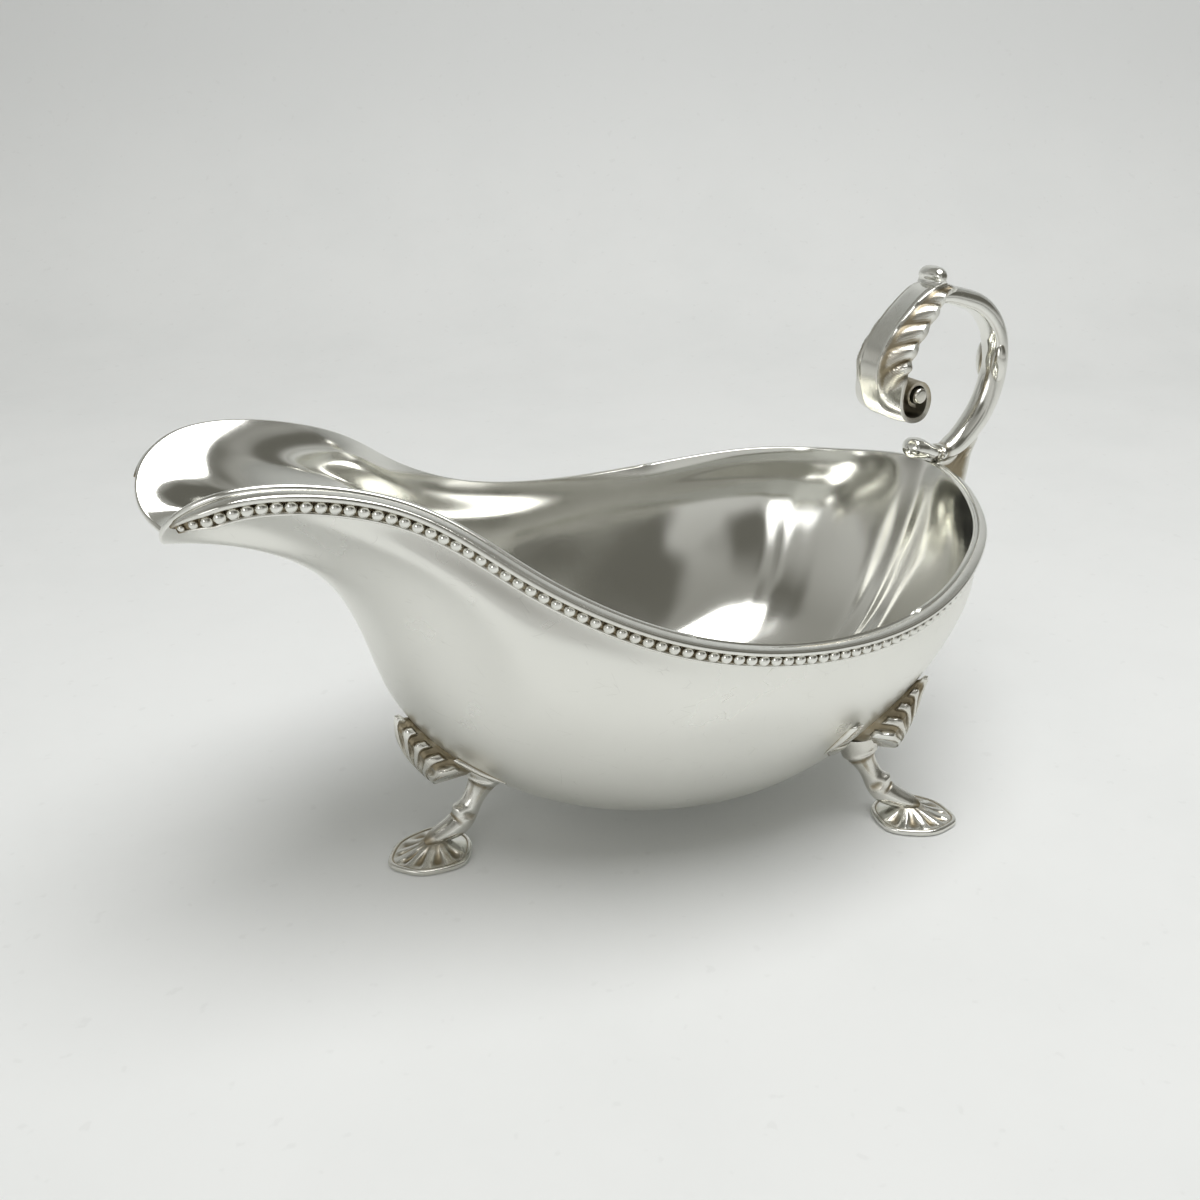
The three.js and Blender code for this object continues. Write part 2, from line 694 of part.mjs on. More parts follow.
// Cabriole leg, from its tip on the pad to its root in the shell: outwards from the pad's middle and
// upwards as shares of legKnee, then half width and half depth as shares of ankleWide
const legShares = [
  [0.06, 0.23, 0.3, 0.3],
  [-0.06, 0.28, 0.7, 0.6],
  [-0.24, 0.33, 0.92, 0.88],
  [-0.46, 0.41, 1.02, 1.12],
  [-0.6, 0.56, 0.98, 1.04],
  [-0.68, 0.71, 0.94, 0.92],
  [-0.79, 0.86, 1, 0.96],
  [-0.87, 1.01, 1.25, 1.29],
  [-0.92, 1.17, 1.5, 1.75],
  [-0.95, 1.36, 1.58, 1.92],
];
const knobShares = { out: -0.5, up: 0.61 };

function legSweep({ side, pad, place }) {
  const stations = legShares.map(([out, up, wide, deep]) => ({
    at: place(pad + legKnee * out, 0, legKnee * up),
    wide: ankleWide * wide,
    deep: ankleWide * deep,
  }));
  return sweep(stations, side, legSides);
}

// Shell over the knee. Its outline on the wall, from the top down one side: across as shares of
// shellHalfWidth, and height above legKnee as shares of shellRise plus shellHinge
const shellOutlineShares = [
  [0, 1], [0.35, 0.92], [0.7, 0.75], [0.93, 0.59], [1, 0.45], [0.82, 0.32], [0.48, 0.2],
];
const ribbedPoints = 5;

// How far the shell's crown stands out from the wall: height above legKnee as a share of the
// shell's, and distance as a share of shellCrown
const crownShares = [
  [0, 1.7], [0.26, 1.47], [0.43, 1.25], [0.64, 1], [0.82, 0.8], [1, 0.66],
];

// Each ring runs from the hinge to the edge: the share of the way, and the share of the thickness
const shellRingShares = [
  { way: 0.1, thick: -1 },
  { way: 1, thick: -1 },
  { way: 1, thick: 0.8 },
  { way: 0.92, thick: 1 },
  { way: 0.55, thick: 1 },
  { way: 0.1, thick: 1 },
];
const fallBendShare = 2.2;

function shellGeometry({ reach, place }) {
  const tall = shellRise + shellHinge;
  const side = shellOutlineShares.map(([across, up]) => (
    new THREE.Vector2(shellHalfWidth * across, legKnee + tall * up)
  ));
  const lengths = [0];
  side.slice(1).forEach((point, i) => lengths.push(lengths[i] + point.distanceTo(side[i])));
  const whole = side.slice(1).map((p) => new THREE.Vector2(-p.x, p.y)).reverse().concat(side);
  const knots = lengths.slice(1).map((length) => -length).reverse().concat(lengths);
  const across = spline(knots, whole.map((p) => p.x));
  const height = spline(knots, whole.map((p) => p.y));
  const crownAt = spline(column(crownShares, 0, tall), column(crownShares, 1, shellCrown));
  const ribbed = lengths[ribbedPoints - 1];
  const step = ribbed / (2 * (shellRibs - 1));
  const hinge = new THREE.Vector2(0, legKnee + shellHinge);
  const count = Math.round(lengths[lengths.length - 1] / step);
  const rings = Array.from({ length: 2 * count + 1 }, (_, i) => {
    const at = THREE.MathUtils.clamp((i - count) * step, knots[0], lengths[lengths.length - 1]);
    const here = new THREE.Vector2(across(at), height(at));
    const next = new THREE.Vector2(across(at + step / 4), height(at + step / 4)).sub(here).normalize();
    const beyond = new THREE.Vector2(-next.y, next.x);
    const tooth = Math.abs(at) <= ribbed + step ? Math.cos((Math.PI * (i - count)) / 2) : -1;
    here.addScaledVector(beyond, shellTooth * tooth);
    return shellRingShares.map(({ way, thick }) => {
      const point = hinge.clone().lerp(here, way);
      const wallHere = reach(point.x, point.y);
      const fall = shellFall * way ** fallBendShare;
      const crown = reach(0, point.y) + crownAt(point.y - legKnee) - fall;
      const proud = Math.max(crown - wallHere, shellEdge);
      return place(wallHere + (thick < 0 ? -shellEdge : proud * thick), point.x, point.y);
    });
  });
  return ringSolid(rings);
}

// Tongue of the knee that lies along the wall, one on each side: across as shares of tongueReach,
// inwards from the pad as shares of legKnee, and radius as a share of tongueRadius
const tongueShares = [
  [0.1, 0.95, 0.7],
  [0.37, 0.98, 0.8],
  [0.6, 1.03, 1],
  [0.82, 1.1, 0.74],
  [1, 1.2, 0.15],
];

function tongueGeometry({ pad, under, place }, hand) {
  const stations = tongueShares.map(([across, inward, size]) => {
    const outward = pad - legKnee * inward;
    const beside = hand * tongueReach * across;
    const radius = tongueRadius * size;
    return { at: place(outward, beside, under(outward, beside)), wide: radius, deep: radius };
  });
  return sweep(stations, new THREE.Vector3(0, 0, 1), tongueSides);
}

function legGeometry(frame, cutter) {
  const knob = new THREE.SphereGeometry(ankleKnob, knobSides, knobSides / 2 + 1);
  const seat = frame.place(frame.pad + legKnee * knobShares.out, 0, legKnee * knobShares.up);
  knob.translate(seat.x, seat.y, seat.z);
  const solid = toSolid(legSweep(frame))
    .add(toSolid(shellGeometry(frame)))
    .add(toSolid(tongueGeometry(frame, 1)))
    .add(toSolid(tongueGeometry(frame, -1)))
    .subtract(cutter)
    .add(toSolid(padGeometry(frame)))
    .add(toSolid(knob));
  return toGeometry(solid);
}

function piece(name, geometry, color, roughness) {
  const mesh = new THREE.Mesh(geometry, new THREE.MeshStandardMaterial({ color, roughness, metalness: 1 }));
  mesh.name = name;
  return mesh;
}

const cutter = seatCutter();
const rearAngle = THREE.MathUtils.degToRad(rearLegAngle);
const boat = new THREE.Group();
boat.add(
  piece('body', bowlGeometry(), silver, 0.12),
  piece('bead_border_left', borderGeometry(true), warmSilver, 0.22),
  piece('bead_border_right', borderGeometry(false), warmSilver, 0.22),
  piece('handle_scroll', handleGeometry(cutter), silver, 0.15),
  piece('handle_leaf', leafGeometry(), warmSilver, 0.25),
  piece('front_leg', legGeometry(legFrame(Math.PI, frontStandoff), cutter), warmSilver, 0.2),
  piece('rear_leg_left', legGeometry(legFrame(-rearAngle, rearStandoff), cutter), warmSilver, 0.2),
  piece('rear_leg_right', legGeometry(legFrame(rearAngle, rearStandoff), cutter), warmSilver, 0.2),
);

// The origin is on the table, midway between the lip and the back of the handle
const box = new THREE.Box3().setFromObject(boat);
boat.position.x = -(box.min.x + box.max.x) / 2;
boat.updateMatrixWorld(true);

export default boat;
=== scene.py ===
import math

import bpy
import numpy as np
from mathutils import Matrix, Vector, noise
from mathutils.bvhtree import BVHTree


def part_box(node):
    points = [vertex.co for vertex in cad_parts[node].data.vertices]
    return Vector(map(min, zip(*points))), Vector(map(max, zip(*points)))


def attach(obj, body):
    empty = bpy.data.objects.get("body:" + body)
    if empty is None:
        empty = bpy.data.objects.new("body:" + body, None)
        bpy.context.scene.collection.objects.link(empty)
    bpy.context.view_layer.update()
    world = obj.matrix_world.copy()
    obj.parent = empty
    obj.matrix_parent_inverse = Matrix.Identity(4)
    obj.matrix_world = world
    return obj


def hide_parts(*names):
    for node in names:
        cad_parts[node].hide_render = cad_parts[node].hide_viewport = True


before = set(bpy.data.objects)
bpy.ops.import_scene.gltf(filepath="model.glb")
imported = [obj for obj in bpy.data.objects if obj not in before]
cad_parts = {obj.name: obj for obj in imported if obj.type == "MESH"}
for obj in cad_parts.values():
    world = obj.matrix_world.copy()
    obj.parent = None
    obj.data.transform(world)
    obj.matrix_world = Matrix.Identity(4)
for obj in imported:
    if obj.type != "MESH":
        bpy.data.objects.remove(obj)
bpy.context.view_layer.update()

# Bowl. One sheet of silver, raised with hammers from a flat disc, its mouth drawn out forwards
# into a long pouring lip, then planished and polished inside and out. Sizes are in millimetres.
# The turn runs from the middle of the lip, at 0, round to the handle, at 180 degrees.
SHEET = 1.1
BOWL_FLOOR = 9.2
SOLE_ALONG = 11.05
BELLY_HEIGHT = 37.0
EDGE_TURN = (0, 8, 24, 36, 50, 66, 93, 122, 152, 180)
EDGE_ALONG = (-85, -87.1, -76, -53.5, -35.7, -13.5, 28, 58.1, 76.1, 83.2)
EDGE_ACROSS = (0, 6.9, 18.4, 22.7, 32.9, 43.7, 49.2, 38.9, 21.2, 0)
EDGE_HEIGHT = (78.05, 80.6, 90.3, 86.1, 74.3, 62, 55.3, 58.7, 60.9, 63)
SLOPE_TURN = (0, 30, 93, 180)
SLOPE = (-3, 45, 75, 75)
# Ovals that the wall passes through: front and back ends, half width, drift of the widest place, height.
# The first has no height of its own, but lies at a share of the way from the belly up to the edge.
OVALS = (
    (-58.65, 81.0, 48.7, 8.0, None),
    (-48.0, 75.0, 45.0, 8.0, BELLY_HEIGHT),
    (-38.0, 66.0, 37.8, 5.5, 23.0),
    (-22.0, 46.5, 28.3, 3.0, 11.7),
)
SHOULDER_SHARE = 0.66
BOWL_COLUMNS = 420
BOWL_ROWS = 96
# The rows lie closer together near the edge, by this power
ROW_CROWDING = 1.2
EDGE_ROUND = 0.35
EDGE_ARC = (30, 60, 90, 120, 150)
ARC_POINTS = 1441
# Hammer marks: depth, size, how much deeper inside, and how soon they set in below the edge
HAMMER_DEPTH, HAMMER_SIZE, HAMMER_INSIDE, HAMMER_START = 0.035, 17.0, 1.3, 4
# Ripples down the wall beside the handle: depth, phase to a radian of turn, size and pace of the
# unevenness in it; then how far to each side, how far down and how evenly they are cut
RIPPLE_DEPTH, RIPPLE_PACE, RIPPLE_WANDER, RIPPLE_DRIFT = 0.14, 22, 3, 9
RIPPLE_SPREAD, RIPPLE_REACH, RIPPLE_FULLNESS = 0.75, 1.9, 0.7


def bends(knots, values, start=None, end=None):
    """Second derivatives at the knots of cubic splines, one spline for each row of values."""
    count = knots.shape[-1]
    gaps = np.diff(knots)
    slopes = np.diff(values) / gaps
    matrix = np.zeros((*knots.shape, count))
    right = np.zeros(knots.shape)
    for i in range(1, count - 1):
        both = gaps[..., i - 1] + gaps[..., i]
        matrix[..., i, i - 1] = gaps[..., i - 1] / both
        matrix[..., i, i + 1] = gaps[..., i] / both
        right[..., i] = 6 * (slopes[..., i] - slopes[..., i - 1]) / both
    matrix[..., range(count), range(count)] = 2
    if start is not None:
        matrix[..., 0, 1] = 1
        right[..., 0] = 6 * (slopes[..., 0] - start) / gaps[..., 0]
    if end is not None:
        matrix[..., -1, -2] = 1
        right[..., -1] = 6 * (end - slopes[..., -1]) / gaps[..., -1]
    return np.linalg.solve(matrix, right[..., None])[..., 0]


def spline(knots, values, at, start=None, end=None):
    """Cubic splines through values at knots, read at one place each."""
    knots = np.broadcast_to(np.asarray(knots, float), np.shape(values)).copy()
    values = np.asarray(values, float)
    second = bends(knots, values, start, end)
    at = np.asarray(at, float)
    index = (at[..., None] > knots[..., 1:-1]).sum(-1)[..., None]
    low, high = (np.take_along_axis(knots, index + k, -1)[..., 0] for k in (0, 1))
    from_, to = (np.take_along_axis(values, index + k, -1)[..., 0] for k in (0, 1))
    bend_low, bend_high = (np.take_along_axis(second, index + k, -1)[..., 0] for k in (0, 1))
    gap = high - low
    a, b = (high - at) / gap, (at - low) / gap
    return a * from_ + b * to + ((a**3 - a) * bend_low + (b**3 - b) * bend_high) * gap**2 / 6


def curve(knots, values, at, start=None, end=None):
    """One cubic spline read at many places."""
    at = np.asarray(at, float)
    rows = np.broadcast_to(np.asarray(values, float), (*at.shape, len(values)))
    return spline(knots, rows, at, start, end)


def edge(turn):
    """Outer edge of the sheet at turns from 0 to pi."""
    knots = np.radians(EDGE_TURN)
    along = curve(knots, EDGE_ALONG, turn, 0, 0)
    across = curve(knots, EDGE_ACROSS, turn)
    height = curve(knots, EDGE_HEIGHT, turn, 0, 0)
    return np.stack([along, across, height], -1)


def wall(turn, share, depth=0.0):
    """Points of the outer wall: a share of the way down the wall from its edge, plus a depth in mm."""
    turn, share, depth = np.broadcast_arrays(turn, share, depth)
    turn = np.mod(turn, 2 * np.pi)
    mirrored = turn > np.pi
    turn = np.where(mirrored, 2 * np.pi - turn, turn)
    rim = edge(turn)
    stops = [rim]
    for front, back, half, drift, height in OVALS:
        along = (front + back) / 2 - (back - front) / 2 * np.cos(turn) + drift * np.sin(turn) ** 2
        level = BELLY_HEIGHT + SHOULDER_SHARE * (rim[..., 2] - BELLY_HEIGHT) if height is None else height
        stops.append(np.stack([along, half * np.sin(turn), np.broadcast_to(level, turn.shape)], -1))
    stops.append(np.broadcast_to([SOLE_ALONG, 0.0, BOWL_FLOOR], rim.shape))
    stops = np.stack(stops, -2)
    steps = np.linalg.norm(np.diff(stops, axis=-2), axis=-1)
    knots = np.concatenate([np.zeros((*turn.shape, 1)), np.cumsum(steps, -1)], -1)
    nudge = np.radians(0.1)
    after = edge(np.minimum(turn + nudge, np.pi))
    before = edge(np.maximum(turn - nudge, 0))
    inward = np.stack([(after - before)[..., 1], (before - after)[..., 0]], -1)
    inward /= np.linalg.norm(inward, axis=-1, keepdims=True)
    ends = (turn < nudge) | (turn > np.pi - nudge)
    inward[ends] = np.stack([np.where(turn < 1, 1.0, -1.0), np.zeros(turn.shape)], -1)[ends]
    slope = curve(np.radians(SLOPE_TURN), np.radians(SLOPE), turn, 0, 0)
    at = knots[..., -1] * share + depth
    x = spline(knots, stops[..., 0], at, inward[..., 0] * np.cos(slope))
    y = spline(knots, stops[..., 1], at, inward[..., 1] * np.cos(slope))
    z = spline(knots, stops[..., 2], at, -np.sin(slope), 0)
    return np.stack([x, np.where(mirrored, -y, y), z], -1)


def unit(vectors):
    return vectors / np.linalg.norm(vectors, axis=-1, keepdims=True)


def wall_normal(turn, share, depth=0.0):
    """The wall's outward direction. Close to the sole, where the wall ends, it is measured upwards."""
    nudge = np.radians(0.2)
    step = np.where(share < 0.98, 0.2, -0.2)
    down = (wall(turn, share, depth + step) - wall(turn, share, depth)) * np.sign(step)[..., None]
    round_ = wall(turn + nudge, share, depth) - wall(turn - nudge, share, depth)
    return unit(np.cross(round_, down))


def run_along(points):
    """The length along a line of points up to each of them."""
    return np.concatenate([[0], np.cumsum(np.linalg.norm(np.diff(points, axis=0), axis=1))])


ARC_TURNS = np.linspace(0, np.pi, ARC_POINTS)
ARC = run_along(edge(ARC_TURNS))


def turn_at(length):
    """The turn at a length along the edge from the middle of the lip, and on past the handle."""
    length = np.mod(length, 2 * ARC[-1])
    near = np.interp(np.minimum(length, 2 * ARC[-1] - length), ARC, ARC_TURNS)
    return np.where(length > ARC[-1], 2 * np.pi - near, near)


def ring_solid(rings, tarnish_and_shade=0.0, tips=(None, None)):
    """A closed solid through rings of points, fanned shut at both ends, with a value for each point of
    tarnish, which on the handle's crease is painted shade.
    """
    rows, count = rings.shape[:2]
    tips = [rings[k].mean(0) if tip is None else tip for k, tip in zip((0, -1), tips)]
    points = np.concatenate([rings.reshape(-1, 3), tips])
    shade = np.broadcast_to(tarnish_and_shade, (rows, count))
    shades = np.concatenate([shade.ravel(), [shade[0].mean(), shade[-1].mean()]])
    here = np.arange(rows - 1)[:, None] * count + np.arange(count)
    beside = np.arange(rows - 1)[:, None] * count + (np.arange(count) + 1) % count
    quads = np.stack([here, beside, beside + count, here + count], -1).reshape(-1, 4)
    first, last = np.arange(count), (rows - 1) * count + np.arange(count)
    start = np.stack([np.full(count, rows * count), np.roll(first, -1), first], -1)
    end = np.stack([np.full(count, rows * count + 1), last, np.roll(last, -1)], -1)
    a, b, c, d = (points[quads[:, k]] for k in range(4))
    volume = (a * np.cross(b, c)).sum() + (a * np.cross(c, d)).sum()
    for fan in (start, end):
        volume += (points[fan[:, 0]] * np.cross(points[fan[:, 1]], points[fan[:, 2]])).sum()
    faces = [*quads.tolist(), *start.tolist(), *end.tolist()]
    if volume < 0:
        faces = [face[::-1] for face in faces]
    return points, faces, shades


# The formulas above have their own origin, so the pieces are shifted to the frame's
SHIFT = np.array([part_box("body")[0][0] * 1000 - edge(ARC_TURNS)[:, 0].min(), 0, 0])


def add(name, data):
    """An object in the scene, made of the given mesh, lamp or camera."""
    made = bpy.data.objects.new(name, data)
    bpy.context.scene.collection.objects.link(made)
    return made


def add_mesh(name, points, faces, material):
    """A smooth mesh of one material, from points in metres."""
    mesh = bpy.data.meshes.new(name)
    mesh.from_pydata(points, [], faces)
    mesh.polygons.foreach_set("use_smooth", [True] * len(mesh.polygons))
    mesh.materials.append(material)
    return add(name, mesh)


def make_piece(name, solids, material, slot, *nodes, sharp=50, wear=None):
    """One object from closed solids in millimetres, riding on the boat and standing for CAD nodes."""
    points, faces, shades = [], [], []
    total = 0
    for solid_points, solid_faces, solid_shades in solids:
        points.append(solid_points)
        faces += [[index + total for index in face] for face in solid_faces]
        shades.append(solid_shades)
        total += len(solid_points)
    metres = (np.concatenate(points) + SHIFT) / 1000
    piece = add_mesh(name, metres.tolist(), faces, material)
    mesh = piece.data
    mesh.set_sharp_from_angle(angle=math.radians(sharp))
    layer = mesh.attributes.new("tarnish_and_shade", "FLOAT", "POINT")
    layer.data.foreach_set("value", np.clip(np.concatenate(shades), 0, 1))
    if wear is not None:
        mesh.attributes.new("wear", "FLOAT", "POINT").data.foreach_set("value", wear)
    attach(piece, "root")
    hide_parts(*nodes)


class Value:
    """A shader socket that Python sums can use."""

    def __init__(self, recipe, socket):
        self.recipe, self.socket = recipe, socket

    def maths(self, operation, other, flipped=False):
        pair = (other, self) if flipped else (self, other)
        return self.recipe.node("ShaderNodeMath", {"operation": operation}, pair)

    def __add__(self, other):
        return self.maths("ADD", other)

    def __radd__(self, other):
        return self.maths("ADD", other, True)

    def __sub__(self, other):
        return self.maths("SUBTRACT", other)

    def __rsub__(self, other):
        return self.maths("SUBTRACT", other, True)

    def __mul__(self, other):
        return self.maths("MULTIPLY", other)

    def __rmul__(self, other):
        return self.maths("MULTIPLY", other, True)

    def most(self, other):
        return self.maths("MAXIMUM", other)

    def fade(self, low, high, out_low=0.0, out_high=1.0):
        """Smoothly from one value to another as this one goes from low to high."""
        settings = {"interpolation_type": "SMOOTHSTEP"}
        return self.recipe.node("ShaderNodeMapRange", settings, (self, low, high, out_low, out_high))


class Recipe:
    """A material, or the world, and its nodes."""

    def __init__(self, name, tree=None):
        if tree is None:
            self.material = bpy.data.materials.new(name)
            self.material.use_nodes = True
            tree = self.material.node_tree
        self.tree = tree
        tree.nodes.clear()

    def node(self, kind, settings=None, inputs=(), output=0):
        made = self.tree.nodes.new(kind)
        for key, value in (settings or {}).items():
            setattr(made, key, value)
        pairs = inputs.items() if isinstance(inputs, dict) else enumerate(inputs)
        for key, value in pairs:
            if isinstance(value, Value):
                self.tree.links.new(value.socket, made.inputs[key])
            elif value is not None:
                made.inputs[key].default_value = value
        return Value(self, made.outputs[output]) if len(made.outputs) else made

    def blend(self, share, low, high):
        """A colour between two others."""
        settings = {"data_type": "RGBA"}
        return self.node("ShaderNodeMix", settings, {0: share, 6: low, 7: high}, 2)

    def noise(self, place, scale, detail, rough=0.5):
        inputs = {"Vector": place, "Scale": scale, "Detail": detail, "Roughness": rough}
        return self.node("ShaderNodeTexNoise", None, inputs)

    def scratches(self, place, turned, cells, width, cover):
        """Thin straight hairlines in one direction, broken up so that none is long."""
        settings = {"vector_type": "TEXTURE"}
        inputs = {"Vector": place, "Rotation": turned, "Scale": (1.0, LINE_LENGTH, 1.0)}
        drawn = self.node("ShaderNodeMapping", settings, inputs)
        settings = {"feature": "DISTANCE_TO_EDGE"}
        line = self.node("ShaderNodeTexVoronoi", settings, {"Vector": drawn, "Scale": cells})
        broken = self.noise(place, cells * 0.9, 1).fade(cover, cover + 0.05)
        return line.fade(0, width * cells, 1, 0) * broken


POLISHED = (0.84, 0.838, 0.795, 1)
SCRATCHED = (0.62, 0.61, 0.58, 1)
TARNISH_AND_SHADE_COLOUR = (0.3, 0.255, 0.175, 1)
# Cells of the cloudy patches and of the mottling, to the metre
CLOUD_CELLS, MOTTLE_CELLS = 45.0, 420.0
# Hairlines: how they are turned, cells to the metre, width in metres, noise above which they show
FINE_LINES = ((0.3, 0.5, 0.9), 330.0, 0.00004, 0.6)
CROSS_LINES = ((1.1, -0.4, 0.2), 210.0, 0.00004, 0.62)
# How many times longer than wide their cells are, and what a hairline does to colour, gloss and height
LINE_LENGTH = 14.0
LINE_COLOUR_SHARE, LINE_HAZE, LINE_DEPTH = 0.35, 0.2, 0.012
TARNISH_HAZE = 0.3
# What years of wiping add to an outside: dullness, and hairlines
WORN_HAZE = 0.16
WORN_LINES = 0.9


def silver(name, gloss, haze, hairlines, grain=0.0, film=0.0):
    """Polished silver plate: hairlines from use, cloudy patches, and brown tarnish in the recesses, whose
    brown also paints shade along the handle's crease.
    """
    recipe = Recipe(name)
    place = recipe.node("ShaderNodeTexCoord", output="Object")
    tarnish_and_shade = recipe.node("ShaderNodeAttribute", {"attribute_name": "tarnish_and_shade"}, output="Fac")
    wear = recipe.node("ShaderNodeAttribute", {"attribute_name": "wear"}, output="Fac")
    cloud = recipe.noise(place, CLOUD_CELLS, 4)
    mottle = recipe.noise(place, MOTTLE_CELLS, 3, 0.6)
    brown_and_shade = (tarnish_and_shade * mottle.fade(0.2, 0.75, 0.65, 1.2) + cloud.fade(0.3, 0.65) * film).fade(0, 1)
    fine = recipe.scratches(place, *FINE_LINES)
    cross = recipe.scratches(place, *CROSS_LINES)
    lines = fine.most(cross) * (wear * WORN_LINES + hairlines)
    rough = cloud.fade(0.35, 0.7, gloss, gloss + haze) + lines * LINE_HAZE
    rough = rough + brown_and_shade * TARNISH_HAZE + wear * WORN_HAZE
    worn = recipe.blend(lines * LINE_COLOUR_SHARE, POLISHED, SCRATCHED)
    colour = recipe.blend(brown_and_shade, worn, TARNISH_AND_SHADE_COLOUR)
    height = mottle * grain - lines * LINE_DEPTH
    bump = recipe.node("ShaderNodeBump", None, {"Strength": 1.0, "Distance": 0.001, "Height": height})
    shader = recipe.node("ShaderNodeBsdfPrincipled", None, {
        "Base Color": colour, "Metallic": 1.0, "Roughness": rough, "Normal": bump,
    })
    recipe.node("ShaderNodeOutputMaterial", None, {"Surface": shader})
    return recipe.material


def noise_at(points, size):
    """Smooth unevenness between -1 and 1 at points in mm, with features of about the given size."""
    flat = points.reshape(-1, 3) / size
    return np.array([noise.noise(Vector(p)) for p in flat]).reshape(points.shape[:-1])


def hump(place, middle, spread):
    """A smooth hump, 1 high in its middle, which has fallen to about a third at the spread."""
    return np.exp(-(((place - middle) / spread) ** 2))


bowl_lengths = 2 * ARC[-1] * np.arange(BOWL_COLUMNS) / BOWL_COLUMNS
bowl_turns = np.broadcast_to(turn_at(bowl_lengths), (BOWL_ROWS, BOWL_COLUMNS))
bowl_shares = (np.arange(BOWL_ROWS) / BOWL_ROWS) ** ROW_CROWDING
bowl_shares = np.broadcast_to(bowl_shares[:, None], bowl_turns.shape)
edge_drop = np.where(np.arange(BOWL_ROWS) == 0, EDGE_ROUND, 0.0)[:, None]
bowl_outside = wall(bowl_turns, bowl_shares, edge_drop)
bowl_normals = wall_normal(bowl_turns, bowl_shares, edge_drop)
hammered = HAMMER_DEPTH * noise_at(bowl_outside, HAMMER_SIZE)
hammered *= np.sin(np.pi * np.minimum(bowl_shares * HAMMER_START, 0.5))
from_handle = np.abs(bowl_turns - np.pi)
ripple = np.cos(from_handle * RIPPLE_PACE + RIPPLE_WANDER * np.sin(from_handle * RIPPLE_DRIFT))
ripple *= hump(from_handle, 0, RIPPLE_SPREAD)
ripple *= RIPPLE_DEPTH * np.sin(np.pi * np.clip(bowl_shares * RIPPLE_REACH, 0, 1)) ** RIPPLE_FULLNESS
inside = SHEET - hammered * HAMMER_INSIDE - ripple
bowl_inside = bowl_outside - bowl_normals * inside[..., None]
bowl_outside = bowl_outside + bowl_normals * (hammered * (bowl_shares > 0))[..., None]
edge_lift = unit(bowl_outside[0] - bowl_outside[1])
edge_middle = (bowl_outside[0] + bowl_inside[0]) / 2
edge_rings = [edge_middle + (bowl_inside[0] - edge_middle) * math.cos(a)
              + edge_lift * EDGE_ROUND * math.sin(a) for a in np.radians(EDGE_ARC)]
bowl_rings = np.concatenate([bowl_inside[::-1], edge_rings, bowl_outside])
sole = np.array([SOLE_ALONG, 0, BOWL_FLOOR])
bowl_tips = (sole + [0, 0, SHEET], sole)
bowl_silver = silver("bowl_silver", gloss=0.11, haze=0.08, hairlines=0.06)
# The outside is duller than the inside, from years of wiping
bowl_wear = np.zeros(bowl_rings.shape[:2])
bowl_wear[-BOWL_ROWS:] = 1
bowl_wear = np.concatenate([bowl_wear.ravel(), [0, 1]])
make_piece("bowl", [ring_solid(bowl_rings, 0.0, bowl_tips)], bowl_silver, "polished_silver", "body",
           sharp=60, wear=bowl_wear)
# The outer wall by itself, which the legs find by rays. Its upper end is closed over above the sole.
WALL_TOP = (0, 0, 50)
bowl_wall = BVHTree.FromPolygons(*ring_solid(bowl_outside, 0.0, (sole + WALL_TOP, sole))[:2])

# Beaded border. Two cast strips soldered outside the edge, one on each side, from beside the lip's
# tip to the handle: a flat top level with the edge, a round ridge, a row of beads in a channel, and
# a thin lower ridge. They taper towards the lip, and tarnish stays between the beads.
BEAD_PITCH = 2.35
BEAD_ROUND = 1.15
BEAD_LENGTHWISE = 0.97
BEAD_DEPTH = 2.4
BEAD_SEAT = 0.82
BEAD_SIDES = 14
BORDER_START = 15.5
BORDER_HANDLE_GAP = 2.6
BORDER_STEP = 0.9
SOLDER_SHADE, SOLDER_REACH = 0.9, 1.3
# Section from the wall out and back: depth down the wall, height off the wall, tarnish
BORDER_SECTION = (
    (0.1, -0.05, 0.1), (0.0, 0.15, 0.0), (0.0, 1.3, 0.0), (0.06, 1.62, 0.0), (0.28, 1.86, 0.0),
    (0.6, 1.95, 0.0), (0.9, 1.86, 0.0), (1.12, 1.6, 0.1), (1.2, 1.2, 0.45), (1.28, 0.85, 0.9),
    (1.5, 0.68, 1.0), (2.4, 0.62, 1.0), (3.25, 0.62, 1.0), (3.4, 0.78, 0.8), (3.5, 1.05, 0.3),
    (3.66, 1.24, 0.0), (3.9, 1.26, 0.0), (4.08, 1.1, 0.05), (4.2, 0.8, 0.25), (4.2, 0.2, 0.5),
    (4.1, -0.05, 0.6),
)
# Points of the section lower than this lie on the wall itself
BORDER_SEATED = 0.1
BORDER_SLOPE = math.radians(75)
BORDER_TAPER = 6.5
BORDER_START_SIZE = 0.45
border_silver = silver("border_silver", gloss=0.1, haze=0.06, grain=0.03, hairlines=0.3, film=0.2)
border_end = ARC[-1] - BORDER_HANDLE_GAP
bead_count = round((border_end - BORDER_START) / BEAD_PITCH)
dome_turns = np.linspace(0, 2 * np.pi, BEAD_SIDES + 1)[:-1]
dome_rises = np.radians((-20, 0, 18, 36, 54, 72))


def strip_size(length):
    """Share of the full size at a length from the strip's start."""
    return np.interp(length, [0, BORDER_TAPER], [BORDER_START_SIZE, 1])


